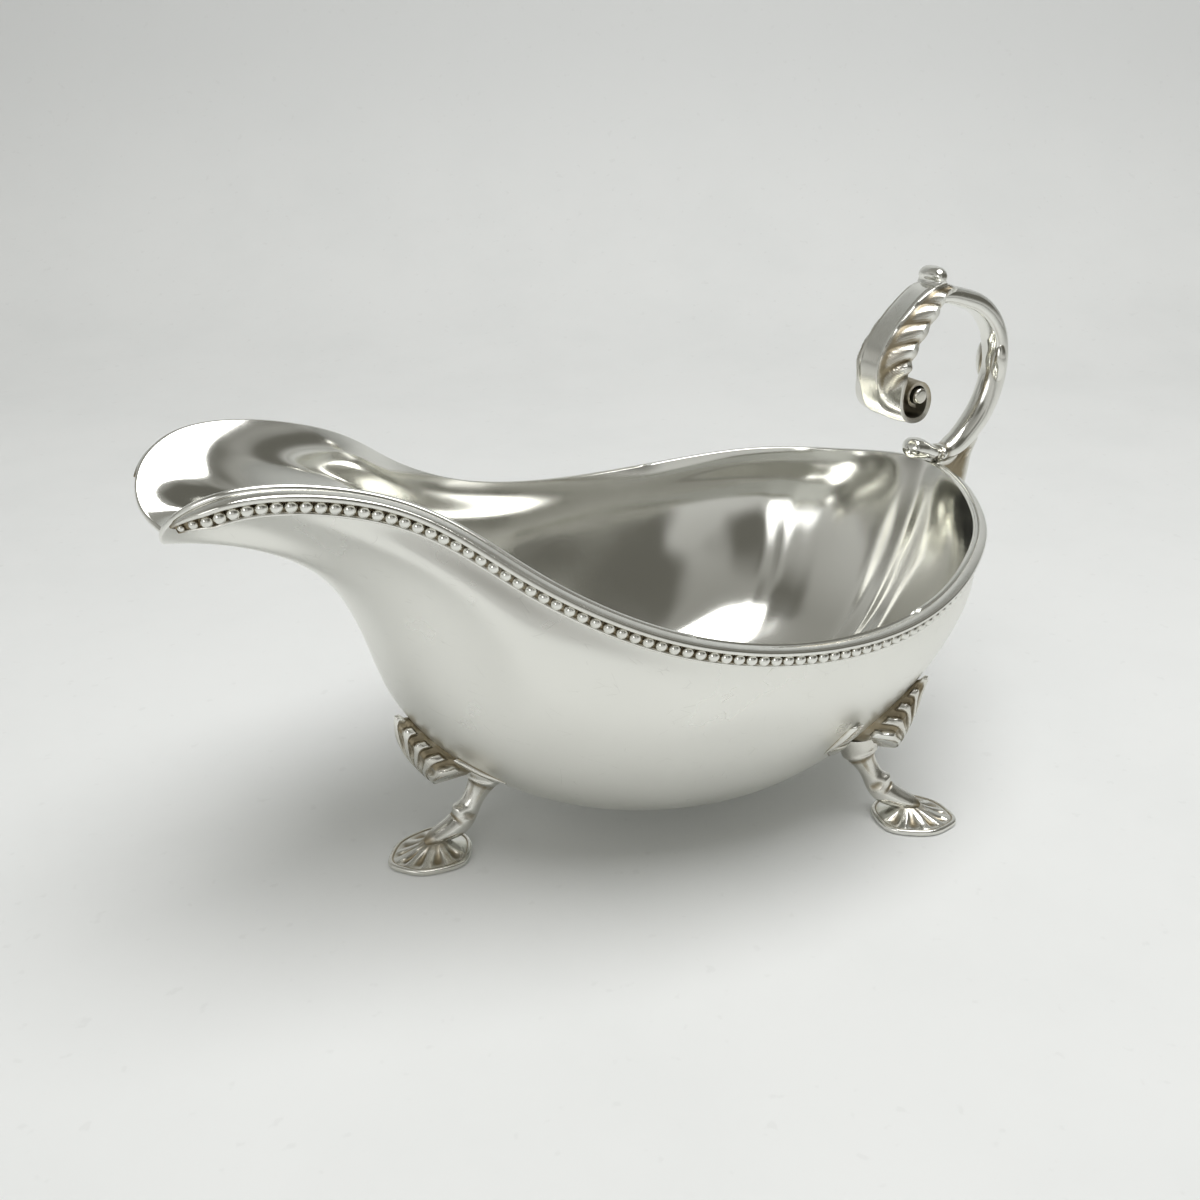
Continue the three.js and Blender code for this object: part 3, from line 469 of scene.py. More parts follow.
def on_strip(turn, depth, height):
    """Points on the strip, which hangs steeply from the edge all along, and is solid back to the wall."""
    turn, depth, height = np.broadcast_arrays(turn, depth, height)
    nudge = 1e-3
    along = unit(edge(turn + nudge) - edge(turn - nudge))
    inward = unit(np.stack([along[..., 1], -along[..., 0], 0 * turn], -1))
    down = inward * math.cos(BORDER_SLOPE) - np.array([0, 0, math.sin(BORDER_SLOPE)])
    down = unit(down - along * (down * along).sum(-1, keepdims=True))
    out = np.cross(down, along)
    out *= -np.sign((out * inward).sum(-1, keepdims=True))
    size = strip_size(np.interp(turn, ARC_TURNS, ARC) - BORDER_START)
    hung = edge(turn) + down * (depth * size)[..., None] + out * (height * size)[..., None]
    seated = wall(turn, 0 * turn, depth) + wall_normal(turn, 0 * turn, depth) * height[..., None]
    return np.where((height > BORDER_SEATED)[..., None], hung, seated)


def border(hand):
    """The strip and its beads on one side, -1 for the boat's left."""
    depths, heights, shades = np.array(BORDER_SECTION).T
    count = int((border_end - BORDER_START) / BORDER_STEP)
    lengths = np.linspace(BORDER_START, border_end, count + 1)
    turns = turn_at(lengths)
    rings = on_strip(turns[:, None], depths[None, :], heights[None, :])
    solder = SOLDER_SHADE * hump(lengths, BORDER_START, SOLDER_REACH)[:, None]
    solids = [ring_solid(rings, np.maximum(shades[None, :], solder))]
    pitch = (border_end - BORDER_START) / bead_count
    bead_lengths = pitch * (np.arange(bead_count) + 0.5)
    middles = turn_at(BORDER_START + bead_lengths)
    nudge = 0.3
    seats = on_strip(middles, BEAD_DEPTH, BEAD_SEAT)
    outward = unit(on_strip(middles, BEAD_DEPTH, BEAD_SEAT + nudge) - seats)
    below = unit(on_strip(middles, BEAD_DEPTH + nudge, BEAD_SEAT) - seats)
    sizes = strip_size(bead_lengths) * BEAD_ROUND
    along = np.cross(outward, below)
    shade = np.clip(0.75 - dome_rises / np.radians(40), 0, 0.8)[:, None]
    for k in range(bead_count):
        rings = np.array([[
            seats[k]
            + sizes[k] * math.cos(rise) * (along[k] * math.cos(a) * BEAD_LENGTHWISE + below[k] * math.sin(a))
            + sizes[k] * math.sin(rise) * outward[k] for a in dome_turns] for rise in dome_rises])
        solids.append(ring_solid(rings, shade, (None, seats[k] + sizes[k] * outward[k])))
    for points, _, _ in solids:
        points[:, 1] *= hand
    return [(points, faces if hand > 0 else [face[::-1] for face in faces], shade)
            for points, faces, shade in solids]


for side, hand in (("left", -1), ("right", 1)):
    make_piece("border_" + side, border(hand), border_silver, "cast_silver", "bead_border_" + side)

# Handle scroll. One casting, round below and a flattened strap above, that springs from a lobe
# on the back of the edge, loops out and flies forward over the bowl. A web below it is soldered
# to the wall. Each station gives x and z of the middle, half width and half depth.
STEM = (
    (75.7, 67.1, 0.7, 0.7), (76.4, 67.0, 2.0, 1.7), (77.9, 66.9, 2.9, 2.35), (80.0, 66.3, 3.0, 2.2),
    (82.2, 65.5, 2.6, 1.75), (83.9, 64.95, 2.2, 1.35), (84.7, 64.75, 2.1, 1.25), (85.2, 64.7, 2.75, 1.7),
    (85.8, 64.6, 2.85, 1.85), (86.4, 64.6, 2.5, 1.8), (88.4, 64.9, 2.6, 2.2), (91.2, 66.2, 2.8, 2.7),
    (94.1, 68.7, 2.95, 2.95), (97.3, 72.9, 3.0, 3.0), (99.3, 77.9, 3.0, 3.0), (99.9, 82.4, 3.0, 2.9),
    (99.5, 86.6, 3.0, 2.9), (98.3, 90.2, 2.95, 2.8), (94.9, 94.9, 2.85, 2.7), (90.6, 97.8, 2.75, 2.6),
    (86.2, 99.3, 2.7, 2.5), (82.2, 100.3, 2.6, 2.3), (79.0, 100.2, 2.3, 1.9), (76.0, 98.8, 1.6, 1.2),
    (73.6, 96.9, 0.9, 0.6),
)
STEM_STEPS = 300
STEM_SIDES = 48
OUTLINE_STEPS = 8
# Where the stem turns into a strap and over how many stations, and how square the strap's flanks are
STRAP_FROM, STRAP_SPAN, STRAP_SQUARE = 15.5, 2.0, 0.3
# The strap's inner face, from this share of its depth inwards, and how much of the round is left there
INNER_FACE, INNER_SHARE = -0.35, 0.5
CREASE_AT, CREASE_HALF, CREASE_CUT = -0.38, 0.1, 0.07
# The two rings of tarnish at the collar: station, spread
COLLAR_RINGS = ((6.35, 0.35), (9.1, 0.4))
KNOP_SEAT = (98.85, 2.15, 84.0)
KNOP_SIZE = (1.7, 1.9, 4.7)
KNOP_LEAN = -0.06
KNOP_RINGS, KNOP_SIDES = 22, 28
# Which way a knop faces: along, across
KNOP_FACING = (-0.5, 0.87)
scroll_silver = silver("scroll_silver", gloss=0.07, haze=0.05, grain=0.02, hairlines=0.5, film=0.2)


def swept(stations, steps):
    """Middles, directions and sizes along a curve in the boat's middle plane through stations."""
    stations = np.array(stations)
    knots = run_along(stations[:, :2])
    at = np.linspace(0, knots[-1], steps)
    columns = [curve(knots, column, at) for column in stations.T]
    number = np.interp(at, knots, np.arange(len(knots)))
    middle = np.stack([columns[0], np.zeros(steps), columns[1]], -1)
    along = unit(np.gradient(middle, axis=0))
    outward = np.stack([along[:, 2], np.zeros(steps), -along[:, 0]], -1)
    return middle, outward, columns[2:], number


def stem():
    """The loop and the lobe at its foot."""
    middle, outward, (wide, deep), number = swept(STEM, STEM_STEPS)
    angle = np.linspace(0, 2 * np.pi, STEM_SIDES, endpoint=False)[None, :]
    side, rise = np.cos(angle), np.sin(angle)
    strap = np.clip((number[:, None] - STRAP_FROM) / STRAP_SPAN, 0, 1)
    strap = strap * strap * (3 - 2 * strap)
    # Above the knops the inner face is flat, with a crease between it and each flank
    inner = np.where(rise < INNER_FACE, INNER_FACE + (rise - INNER_FACE) * INNER_SHARE, rise)
    squared = np.sign(side) * np.abs(side) ** (1 - STRAP_SQUARE * strap)
    section = rise + (inner - rise) * strap
    crease = strap * hump(rise, CREASE_AT, CREASE_HALF)
    collar = sum(hump(number[:, None], at, spread) for at, spread in COLLAR_RINGS)
    points = (middle[:, None]
              + np.array([0, 1, 0]) * (wide[:, None] * squared * (1 - CREASE_CUT * crease))[..., None]
              + outward[:, None] * (deep[:, None] * section)[..., None])
    # Painted shade darkens the crease, in the tarnish colour; the two collar rings are tarnish.
    return ring_solid(points, np.clip(0.35 * crease + 0.55 * collar, 0, 1))


def knop(hand):
    """An oval bud on the flank of the loop, with tarnish round its foot."""
    rise = np.radians(np.linspace(-84, 84, KNOP_RINGS))[:, None]
    angle = np.linspace(0, 2 * np.pi, KNOP_SIDES, endpoint=False)[None, :]
    flat = np.cos(rise)
    ball = np.stack([flat * np.cos(angle), flat * np.sin(angle), np.sin(rise) + 0 * angle], -1)
    points = np.array(KNOP_SEAT) * [1, hand, 1] + ball * KNOP_SIZE
    points[..., 0] += KNOP_LEAN * (points[..., 2] - KNOP_SEAT[2])
    facing = np.clip(KNOP_FACING[0] * ball[..., 0] + KNOP_FACING[1] * hand * ball[..., 1], 0, 1)
    return ring_solid(points, np.clip(1.15 - 1.9 * facing, 0, 1) * 0.9)


def slab(outline, thick, shade_in, inset, sink):
    """A plate in the boat's middle plane from a closed outline, with a sunk panel on both faces."""
    outline = np.array(outline)
    centre = outline.mean(0)
    # One face from its middle outwards: share of the outline, height, tarnish. The other mirrors it.
    face = ((0.0, thick - sink, 1), (1 - inset, thick - sink, 1), (1 - inset * 0.6, thick - 0.05, 0.4),
            (0.97, thick, 0.0), (1.0, thick * 0.85, 0.1))
    loops, shades = [], []
    for share, height, shade in (*face, *((share, -height, shade) for share, height, shade in face[::-1])):
        flat = centre + (outline - centre) * max(share, 0.01)
        loops.append(np.stack([flat[:, 0], np.full(len(flat), height), flat[:, 1]], -1))
        shades.append(shade)
    return ring_solid(np.array(loops), np.array(shades)[:, None] * shade_in)


def rounded(points):
    """A smooth closed outline through points."""
    points = np.array([*points, points[0]], float)
    knots = run_along(points)
    reach = np.concatenate([knots[:-1] - knots[-1], knots, knots[1:] + knots[-1]])
    wrapped = np.concatenate([points[:-1], points, points[1:]])
    at = np.linspace(0, knots[-1], OUTLINE_STEPS * (len(points) - 1), endpoint=False)
    return np.stack([curve(reach, wrapped[:, k], at) for k in (0, 1)], -1)


# Web below the loop: x and z of its outside, then depths down the wall of the points on its other side
WEB_OUTSIDE = (
    (84.2, 62.7), (86.4, 63.0), (89.0, 63.4), (92.5, 66.5), (96.0, 67.4), (94.9, 64.4), (94.3, 61.6),
    (94.0, 58.5), (93.4, 55.8), (92.0, 53.0), (89.3, 50.2), (85.6, 48.0), (81.2, 45.8),
)
WEB_DEPTHS = (17.2, 13, 9, 5, 1.6)
WEB_SEAT = 0.4
WEB_HALF = 1.9
WEB_TARNISH, WEB_RIM_SHARE, WEB_PANEL_DEPTH = 0.9, 0.3, 0.8
web_seats = wall(math.pi, 0.0, np.array(WEB_DEPTHS))
WEB = WEB_OUTSIDE + tuple((p[0] - WEB_SEAT, p[2]) for p in web_seats)
web = slab(rounded(WEB), WEB_HALF, WEB_TARNISH, WEB_RIM_SHARE, WEB_PANEL_DEPTH)
scroll_parts = [stem(), web, knop(1), knop(-1)]
make_piece("flying_scroll", scroll_parts, scroll_silver, "polished_silver", "handle_scroll")

# Leaf. A cast acanthus leaf, soldered on the end of the scroll, that hangs forward and rolls up
# into a volute: a smooth middle band between two raised lines, hatched leaflets with lobed edges
# each side, and a small rolled thumb piece at the top. Stations: x, z, half width, edge drop, thickness.
LEAF = (
    (82.6, 102.9, 3.2, 0.5, 0.8), (79.4, 103.6, 4.3, 1.2, 1.1), (75.8, 103.3, 5.3, 2.4, 1.3),
    (72.1, 101.2, 5.9, 3.2, 1.4), (68.7, 98.2, 6.3, 3.6, 1.5), (66.2, 95.5, 6.7, 3.8, 1.5),
    (64.1, 92.6, 7.0, 3.9, 1.5), (62.8, 89.7, 7.3, 3.9, 1.5), (62.4, 87.0, 7.4, 3.7, 1.5),
    (62.7, 84.2, 7.3, 3.1, 1.4), (63.5, 81.2, 7.2, 2.2, 1.3), (65.0, 78.2, 7.1, 1.2, 1.2),
    (67.4, 76.0, 6.9, 0.6, 1.1), (70.7, 75.3, 6.8, 0.2, 1.05), (73.6, 76.3, 6.7, 0.0, 1.0),
    (75.0, 79.0, 6.6, 0.0, 1.0), (74.5, 82.2, 6.5, 0.0, 0.95), (72.2, 84.3, 6.4, 0.0, 0.9),
    (69.7, 83.9, 6.3, 0.0, 0.9), (68.5, 81.8, 6.2, 0.0, 0.85), (69.3, 79.6, 6.1, 0.0, 0.8),
    (71.3, 78.6, 6.0, 0.0, 0.7),
)
LEAF_STEPS = 420
LEAF_ACROSS = 61
BAND_HALF = 3.1
LEAFLET_PITCH = 6.2
LEAFLET_SKEW = 1.7
LEAF_LENGTH_CARVED = 34.0
# The lobes notch the edge by this share of the width
LEAF_NOTCH = 0.16
# The leaf dishes down from this share of its half width outwards
DISH_FROM, DISH_POWER = 0.36, 1.4
# Heights of the carving over the leaf's face, and sizes of the raised lines and the hatching
LINE_RELIEF, LEAFLET_RELIEF, HATCH_RELIEF = 0.38, 1.25, 0.12
RAISED_LINE_HALF = 0.32
HATCH_PITCH = 0.62
LINE_SHADE, LINE_SHADE_BESIDE, LINE_SHADE_HALF = 0.85, 0.7, 0.4
VALLEY_SHADE, HATCH_SHADE, BACK_SHADE = 0.95, 0.95, 0.35
# Tarnish inside the roll: first station, stations to its full depth, depth
ROLL_FROM, ROLL_SPAN, ROLL_SHADE = 13.5, 2, 0.6
leaf_silver = silver("leaf_silver", gloss=0.1, haze=0.06, grain=0.03, hairlines=0.4, film=0.36)


def leaf():
    """The leaf's carved face and smooth back, as one closed sheet."""
    middle, outward, (half, drop, thick), number = swept(LEAF, LEAF_STEPS)
    run = run_along(middle)
    across = np.linspace(-1, 1, LEAF_ACROSS)[None, :]
    carved = np.clip((LEAF_LENGTH_CARVED - run) / 5, 0, 1)[:, None] * np.clip(run / 3, 0, 1)[:, None]
    sideways = np.abs(across) * half[:, None]
    order = (run[:, None] + LEAFLET_SKEW * (sideways - BAND_HALF)) / LEAFLET_PITCH
    lobe = np.abs(np.sin(np.pi * order)) ** 0.7
    beyond = np.clip((sideways - BAND_HALF) / np.maximum(half[:, None] - BAND_HALF, 0.5), 0, 1)
    width = half[:, None] * (1 + LEAF_NOTCH * carved * (lobe - 0.75) * beyond**3)
    gutter = np.clip((np.abs(across) - DISH_FROM) / (1 - DISH_FROM), 0, 1) ** DISH_POWER
    line = hump(sideways, BAND_HALF, RAISED_LINE_HALF)
    leaflet = beyond ** 0.5 * (lobe - 0.6) * LEAFLET_RELIEF
    hatch = np.sin(2 * np.pi * (order * LEAFLET_PITCH / HATCH_PITCH)) * np.clip(beyond * 4, 0, 1)
    inside_leaf = np.clip((0.97 - np.abs(across)) / 0.1, 0, 1)
    relief = carved * (LINE_RELIEF * line + leaflet + HATCH_RELIEF * hatch * inside_leaf)
    face = (middle[:, None] + np.array([0, 1, 0]) * (width * across)[..., None]
            + outward[:, None] * (relief - drop[:, None] * gutter)[..., None])
    back_width = np.sign(across) * np.maximum(width * np.abs(across) - 0.3 * np.abs(across) ** 6, 0)
    back_rise = np.minimum(relief, 0) * 0.5 - drop[:, None] * gutter - thick[:, None]
    back = (middle[:, None] + np.array([0, 1, 0]) * back_width[..., None]
            + outward[:, None] * back_rise[..., None])
    rings = np.concatenate([face, back[:, ::-1]], 1)
    valley = np.clip(1.1 - lobe * 1.5, 0, 1) * np.clip(beyond * 3, 0, 1)
    beside_line = hump(sideways - BAND_HALF, LINE_SHADE_BESIDE, LINE_SHADE_HALF)
    grooves = np.clip(-hatch, 0, 1) * HATCH_SHADE * inside_leaf
    shade = carved * np.clip(VALLEY_SHADE * valley + LINE_SHADE * beside_line + grooves, 0, 1)
    rolled = np.clip((number - ROLL_FROM) / ROLL_SPAN, 0, 1)[:, None] * ROLL_SHADE
    back_shade = np.broadcast_to(BACK_SHADE, shade.shape)
    return ring_solid(rings, np.concatenate([np.maximum(shade, rolled), back_shade], 1))


def loft(outline, half, steps, power):
    """A bar across the boat with the given side outline. Its ends are rounder for a lower power."""
    outline = np.array(outline)
    centre = outline.mean(0)
    loops = []
    for t in np.sin(np.linspace(-0.5, 0.5, steps) * np.pi * 0.97):
        scale = (1 - abs(t) ** power) ** (1 / power)
        flat = centre + (outline - centre) * scale
        loops.append(np.stack([flat[:, 0], np.full(len(flat), t * half), flat[:, 1]], -1))
    return np.array(loops)


# Thumb piece: x and z of its outline. The core of the volute is a plain round bar.
THUMB = (
    (76.0, 102.9), (76.5, 104.0), (76.15, 105.3), (76.6, 106.5), (77.9, 107.1), (79.2, 106.7),
    (79.75, 105.4), (79.4, 104.2), (80.3, 103.0), (78.2, 102.7),
)
THUMB_HALF, THUMB_STEPS, THUMB_POWER = 3.6, 14, 2.6
CORE_ALONG, CORE_HEIGHT, CORE_RADIUS = 72.0, 81.2, 1.9
CORE_HALF, CORE_STEPS, CORE_POWER, CORE_SHADE = 6.9, 20, 8.0, 0.15
thumb = ring_solid(loft(rounded(THUMB), THUMB_HALF, THUMB_STEPS, THUMB_POWER))
core_outline = [(CORE_ALONG + CORE_RADIUS * math.cos(a), CORE_HEIGHT + CORE_RADIUS * math.sin(a))
                for a in np.radians(range(0, 360, 20))]
core = ring_solid(loft(core_outline, CORE_HALF, CORE_STEPS, CORE_POWER), CORE_SHADE)
make_piece("acanthus_leaf", [leaf(), thumb, core], leaf_silver, "cast_silver", "handle_leaf")

# Legs. Three like castings, soldered under the bowl: a shield-shaped foot with flutes on top, a slim
# ankle with a knob in front, and a knee that spreads over the wall as a ribbed shell, with a small
# leaf tongue on each side that a spur joins to it. Tarnish stays between the ribs and in the flutes.
LEG_AXES = {"front_leg": 180.0, "rear_leg_left": -44.6, "rear_leg_right": 44.6}
LEG_PADS = {"front_leg": 54.55, "rear_leg_left": 56.0, "rear_leg_right": 56.0}
PAD_HALF_DEPTH, PAD_HALF_WIDTH, PAD_TAPER = 8.7, 7.3, 0.18
# Levels of the pad: share of its outline, height, how much of the flutes
PAD_LEVELS = (
    (0.9, 0.0, 0), (0.97, 0.1, 0), (1.0, 0.4, 0), (1.0, 0.9, 0), (0.985, 1.2, 0), (0.95, 1.36, 0),
    (0.915, 1.34, 0), (0.89, 1.2, 0), (0.86, 1.28, 0.1), (0.8, 1.42, 0.35), (0.72, 1.58, 0.8),
    (0.64, 1.78, 1), (0.56, 2.02, 0.95), (0.48, 2.3, 0.75), (0.4, 2.62, 0.4), (0.32, 2.96, 0.1),
    (0.24, 3.3, 0), (0.16, 3.55, 0), (0.08, 3.65, 0),
)
PAD_SIDES = 120
# How far the pad's top leans back from its outline, how much its corners stand out, and where tarnish
# lies round its edge: share of the outline, spread
PAD_LEAN = 2.2
PAD_CORNERS = 0.02
PAD_EDGE_LINE = (0.89, 0.02)
# Flutes, on both sides alike: turn from the toe, half width in radians
FLUTES = ((0.3, 0.13), (0.85, 0.15), (1.5, 0.2), (2.2, 0.2))
FLUTE_DEPTH, FLUTE_SHADE = 0.6, 0.75
# Ankle: outward from the pad's middle, height, half width, half depth
ANKLE = (
    (0.9, 3.2, 0.7, 0.7), (-0.8, 3.9, 1.7, 1.45), (-3.4, 4.6, 2.2, 2.1), (-6.4, 5.7, 2.45, 2.7),
    (-8.4, 7.8, 2.35, 2.5), (-9.7, 9.9, 2.25, 2.2), (-11.0, 12.0, 2.4, 2.3), (-12.2, 14.1, 3.0, 3.1),
    (-12.9, 16.4, 3.6, 4.2), (-13.3, 19.0, 3.8, 4.6),
)
ANKLE_RINGS, ANKLE_SIDES = 110, 40
# What stands out of the ankle or is cut into it: station, spread, size
KNOB = (4.05, 0.42, 0.9)
COLLAR = (7.3, 0.25, 0.35)
PINCH = (3.2, 0.22, 0.3)
DIMPLE = (4.0, 0.3, 0.5)
ANKLE_GROOVES = (6.2, 0.8, 0.14)
GROOVES_ROUND = 7
# Seams of tarnish: station, spread, depth
PINCH_SEAM = (3.2, 0.2, 0.8)
TOE_SEAM = (0, 1.0, 0.7)
COLLAR_SEAM = (6.9, 0.25, 0.5)
ANKLE_SUNK = 0.4
# Shell outline on the wall, from the top down one side: across, height; then its unribbed return
SHELL_EDGE = ((0, 33.4), (2.1, 32.0), (4.3, 29.0), (6.0, 26.2), (6.6, 23.2))
SHELL_RETURN = ((5.4, 20.6), (3.2, 18.6))
SHELL_HINGE = 16.4
# How far the shell's crown stands out from the wall: height, distance at the front, distance at the back
SHELL_CROWN = (
    (14, 11.0, 10.8), (16.5, 10.6, 9.9), (20, 9.4, 8.2), (25, 7.8, 6.1), (30, 6.0, 4.2), (33.8, 4.2, 3.5),
)
# How far the shell falls from its crown towards its edge, its ribs, and their teeth at the edge
SHELL_FALL = 4.2
SHELL_RIBS, SHELL_TOOTH = 9, 0.8
SHELL_STEPS = 241
# How square the teeth and the flutes between the ribs are
TOOTH_SQUARE, FLUTE_SQUARE = 2.6, 1.5
# The edge is drawn in where it meets the wall, and stands at least so far off it
SHELL_UNDERCUT, SHELL_LEAST = 0.25, 1.2
# Where the flutes are deepest and darkest: share of the way from hinge to edge, spread
FLUTE_DEEPEST, FLUTE_DARKEST = (0.76, 0.13), (0.78, 0.16)
# Each ring of the shell: share of the way from hinge to edge, share of the thickness
SHELL_PROFILE = (
    (0.04, -0.1), (0.5, -0.1), (0.98, -0.1), (1.0, 0.1), (1.0, 0.3), (1.0, 0.5), (1.0, 0.7), (1.0, 0.86),
    (0.975, 0.96), (0.94, 1.0), (0.89, 1), (0.83, 1), (0.76, 1), (0.69, 1), (0.62, 1), (0.54, 1),
    (0.46, 1), (0.38, 1), (0.3, 1), (0.22, 1), (0.13, 1), (0.04, 1),
)
# Leaf tongues on the wall, and the spurs that join them to the knee: across, height, half width
TONGUE_FRONT = (
    (13.2, 21.0, 0.2), (12.2, 22.2, 0.9), (10.6, 23.8, 1.4), (9.0, 25.4, 1.5), (8.1, 26.3, 1.0),
)
TONGUE_REAR = (
    (15.6, 22.6, 0.15), (15.6, 24.4, 0.8), (15.6, 26.6, 1.2), (15.8, 28.9, 1.25), (16.0, 30.2, 0.8),
)
SPUR_FRONT = ((3.4, 17.0, 1.5), (6.0, 18.4, 1.5), (9.0, 20.0, 1.1), (11.5, 21.2, 0.5))
SPUR_REAR = ((3.4, 17.0, 1.5), (7.0, 18.6, 1.5), (11.0, 20.6, 1.1), (14.5, 22.6, 0.4))
TONGUE_PROUD, TONGUE_HOLLOW, SPUR_PROUD = 1.6, 0.8, 0.8
# Size of the dimples on the ankle's flanks, as a share of the sine round it
DIMPLE_SPREAD = 0.12
WALL_LEAF_STEPS, WALL_LEAF_ACROSS, WALL_LEAF_SUNK = 44, 25, 0.5
# Rays at the wall start this far out, and a ray that misses gives a height above the whole boat
RAY_START, NO_ROOF = 200.0, 100.0
leg_silver = silver("leg_silver", gloss=0.1, haze=0.08, grain=0.05, hairlines=0.4, film=0.36)


class Leg:
    """Places of one leg, on a ray from the middle of the sole."""

    def __init__(self, name):
        angle = math.radians(LEG_AXES[name])
        self.out = np.array([math.cos(angle), math.sin(angle), 0.0])
        self.side = np.array([-math.sin(angle), math.cos(angle), 0.0])
        self.root = np.array([SOLE_ALONG, 0.0, 0.0])
        self.pad = LEG_PADS[name]
        self.front = name == "front_leg"

    def place(self, outward, across, height):
        outward, across, height = np.broadcast_arrays(outward, across, height)
        return (self.root + self.out * outward[..., None] + self.side * across[..., None]
                + np.array([0, 0, 1.0]) * height[..., None])

    def reach(self, across, height):
        """How far out the wall is, beside the axis and at a height."""
        start = Vector(self.place(RAY_START, across, height))
        hit = bowl_wall.ray_cast(start, Vector(-self.out))
        return RAY_START - hit[3] if hit[0] else 0.0

    def under(self, outward, across):
        """How high the underside of the bowl is."""
        hit = bowl_wall.ray_cast(Vector(self.place(outward, across, 0.0)), Vector((0, 0, 1)))
        return hit[0].z if hit[0] else NO_ROOF


def foot(leg):
    """The pad that stands on the table, with its flutes."""
    angle = np.linspace(0, 2 * np.pi, PAD_SIDES, endpoint=False)
    rings, shades = [], []
    for spread, height, amount in PAD_LEVELS:
        flute = np.zeros(PAD_SIDES)
        for middle, width in FLUTES:
            narrow = width * (0.55 + 0.75 * spread)
            for hand in (1, -1):
                away = np.abs((angle - hand * middle + np.pi) % (2 * np.pi) - np.pi)
                flute = np.maximum(flute, np.clip(1 - (away / narrow) ** 2, 0, 1) ** 0.6)
        # A shield: a blunt toe outwards, a broad heel, and faint corners
        shape = (1 + PAD_CORNERS * np.cos(6 * angle)) * spread
        taper = 1 - PAD_TAPER * np.cos(angle)
        outward = leg.pad + PAD_HALF_DEPTH * shape * np.cos(angle) - PAD_LEAN * (1 - spread) ** 2
        across = PAD_HALF_WIDTH * shape * taper * np.sin(angle)
        rings.append(leg.place(outward, across, height - FLUTE_DEPTH * flute * amount))
        edge_line = FLUTE_SHADE * hump(spread, *PAD_EDGE_LINE)
        shades.append(np.clip(FLUTE_SHADE * flute * amount + edge_line + 0.35 * (spread < 0.4), 0, 1))
    top = leg.place(leg.pad - PAD_LEAN, 0.0, PAD_LEVELS[-1][1])
    return ring_solid(np.array(rings), np.array(shades), (leg.place(leg.pad, 0.0, 0.0), top))


def through(stations, steps):
    """A curve through numbered stations: the number at each step, then each of their columns there."""
    stations = np.array(stations)
    knots = np.arange(len(stations), dtype=float)
    at = np.linspace(0, knots[-1], steps)
    return at, *(curve(knots, column, at) for column in stations.T)


def feature(at, station, spread, size):
    """How much a feature of the ankle shows at each station."""
    return size * hump(at, station, spread)


def ankle(leg):
    """From the pad up to the knee, with a knob in front and a collar under the shell."""
    at, out, height, wide, deep = through(ANKLE, ANKLE_RINGS)
    direction = unit(np.stack([np.gradient(out), np.gradient(height)], -1))
    angle = np.linspace(0, 2 * np.pi, ANKLE_SIDES, endpoint=False)[None, :]
    front = np.clip(np.cos(angle), 0, 1)
    at = at[:, None]
    knob = feature(at, *KNOB) * front**1.2
    collar = feature(at, *COLLAR)
    pinch = feature(at, *PINCH) * front
    dimple = feature(at, *DIMPLE) * hump(np.abs(np.sin(angle)), 1, DIMPLE_SPREAD)
    grooves = feature(at, *ANKLE_GROOVES) * np.cos(GROOVES_ROUND * angle) * (front > 0)
    reach = deep[:, None] * np.cos(angle) + knob - pinch + collar * np.cos(angle) + grooves
    rings = leg.place(leg.pad + out[:, None] + direction[:, 1:] * reach,
                      (wide[:, None] + collar - dimple) * np.sin(angle) * (1 - 0.1 * front**3),
                      height[:, None] - direction[:, :1] * reach)
    # The top ends inside the sheet, and doesn't come through it
    for point in rings.reshape(-1, 3)[len(rings) // 2 * ANKLE_SIDES:]:
        away = point - leg.root
        point[2] = min(point[2], leg.under(away @ leg.out, away @ leg.side) + ANKLE_SUNK)
    seam = feature(at, *PINCH_SEAM) * front + dimple
    tip_seam = feature(at, *TOE_SEAM) + feature(at, *COLLAR_SEAM)
    streaks = 3.0 * np.clip(-grooves, 0, 1)
    return ring_solid(rings, np.clip(seam + tip_seam + streaks + 0 * angle, 0, 1))


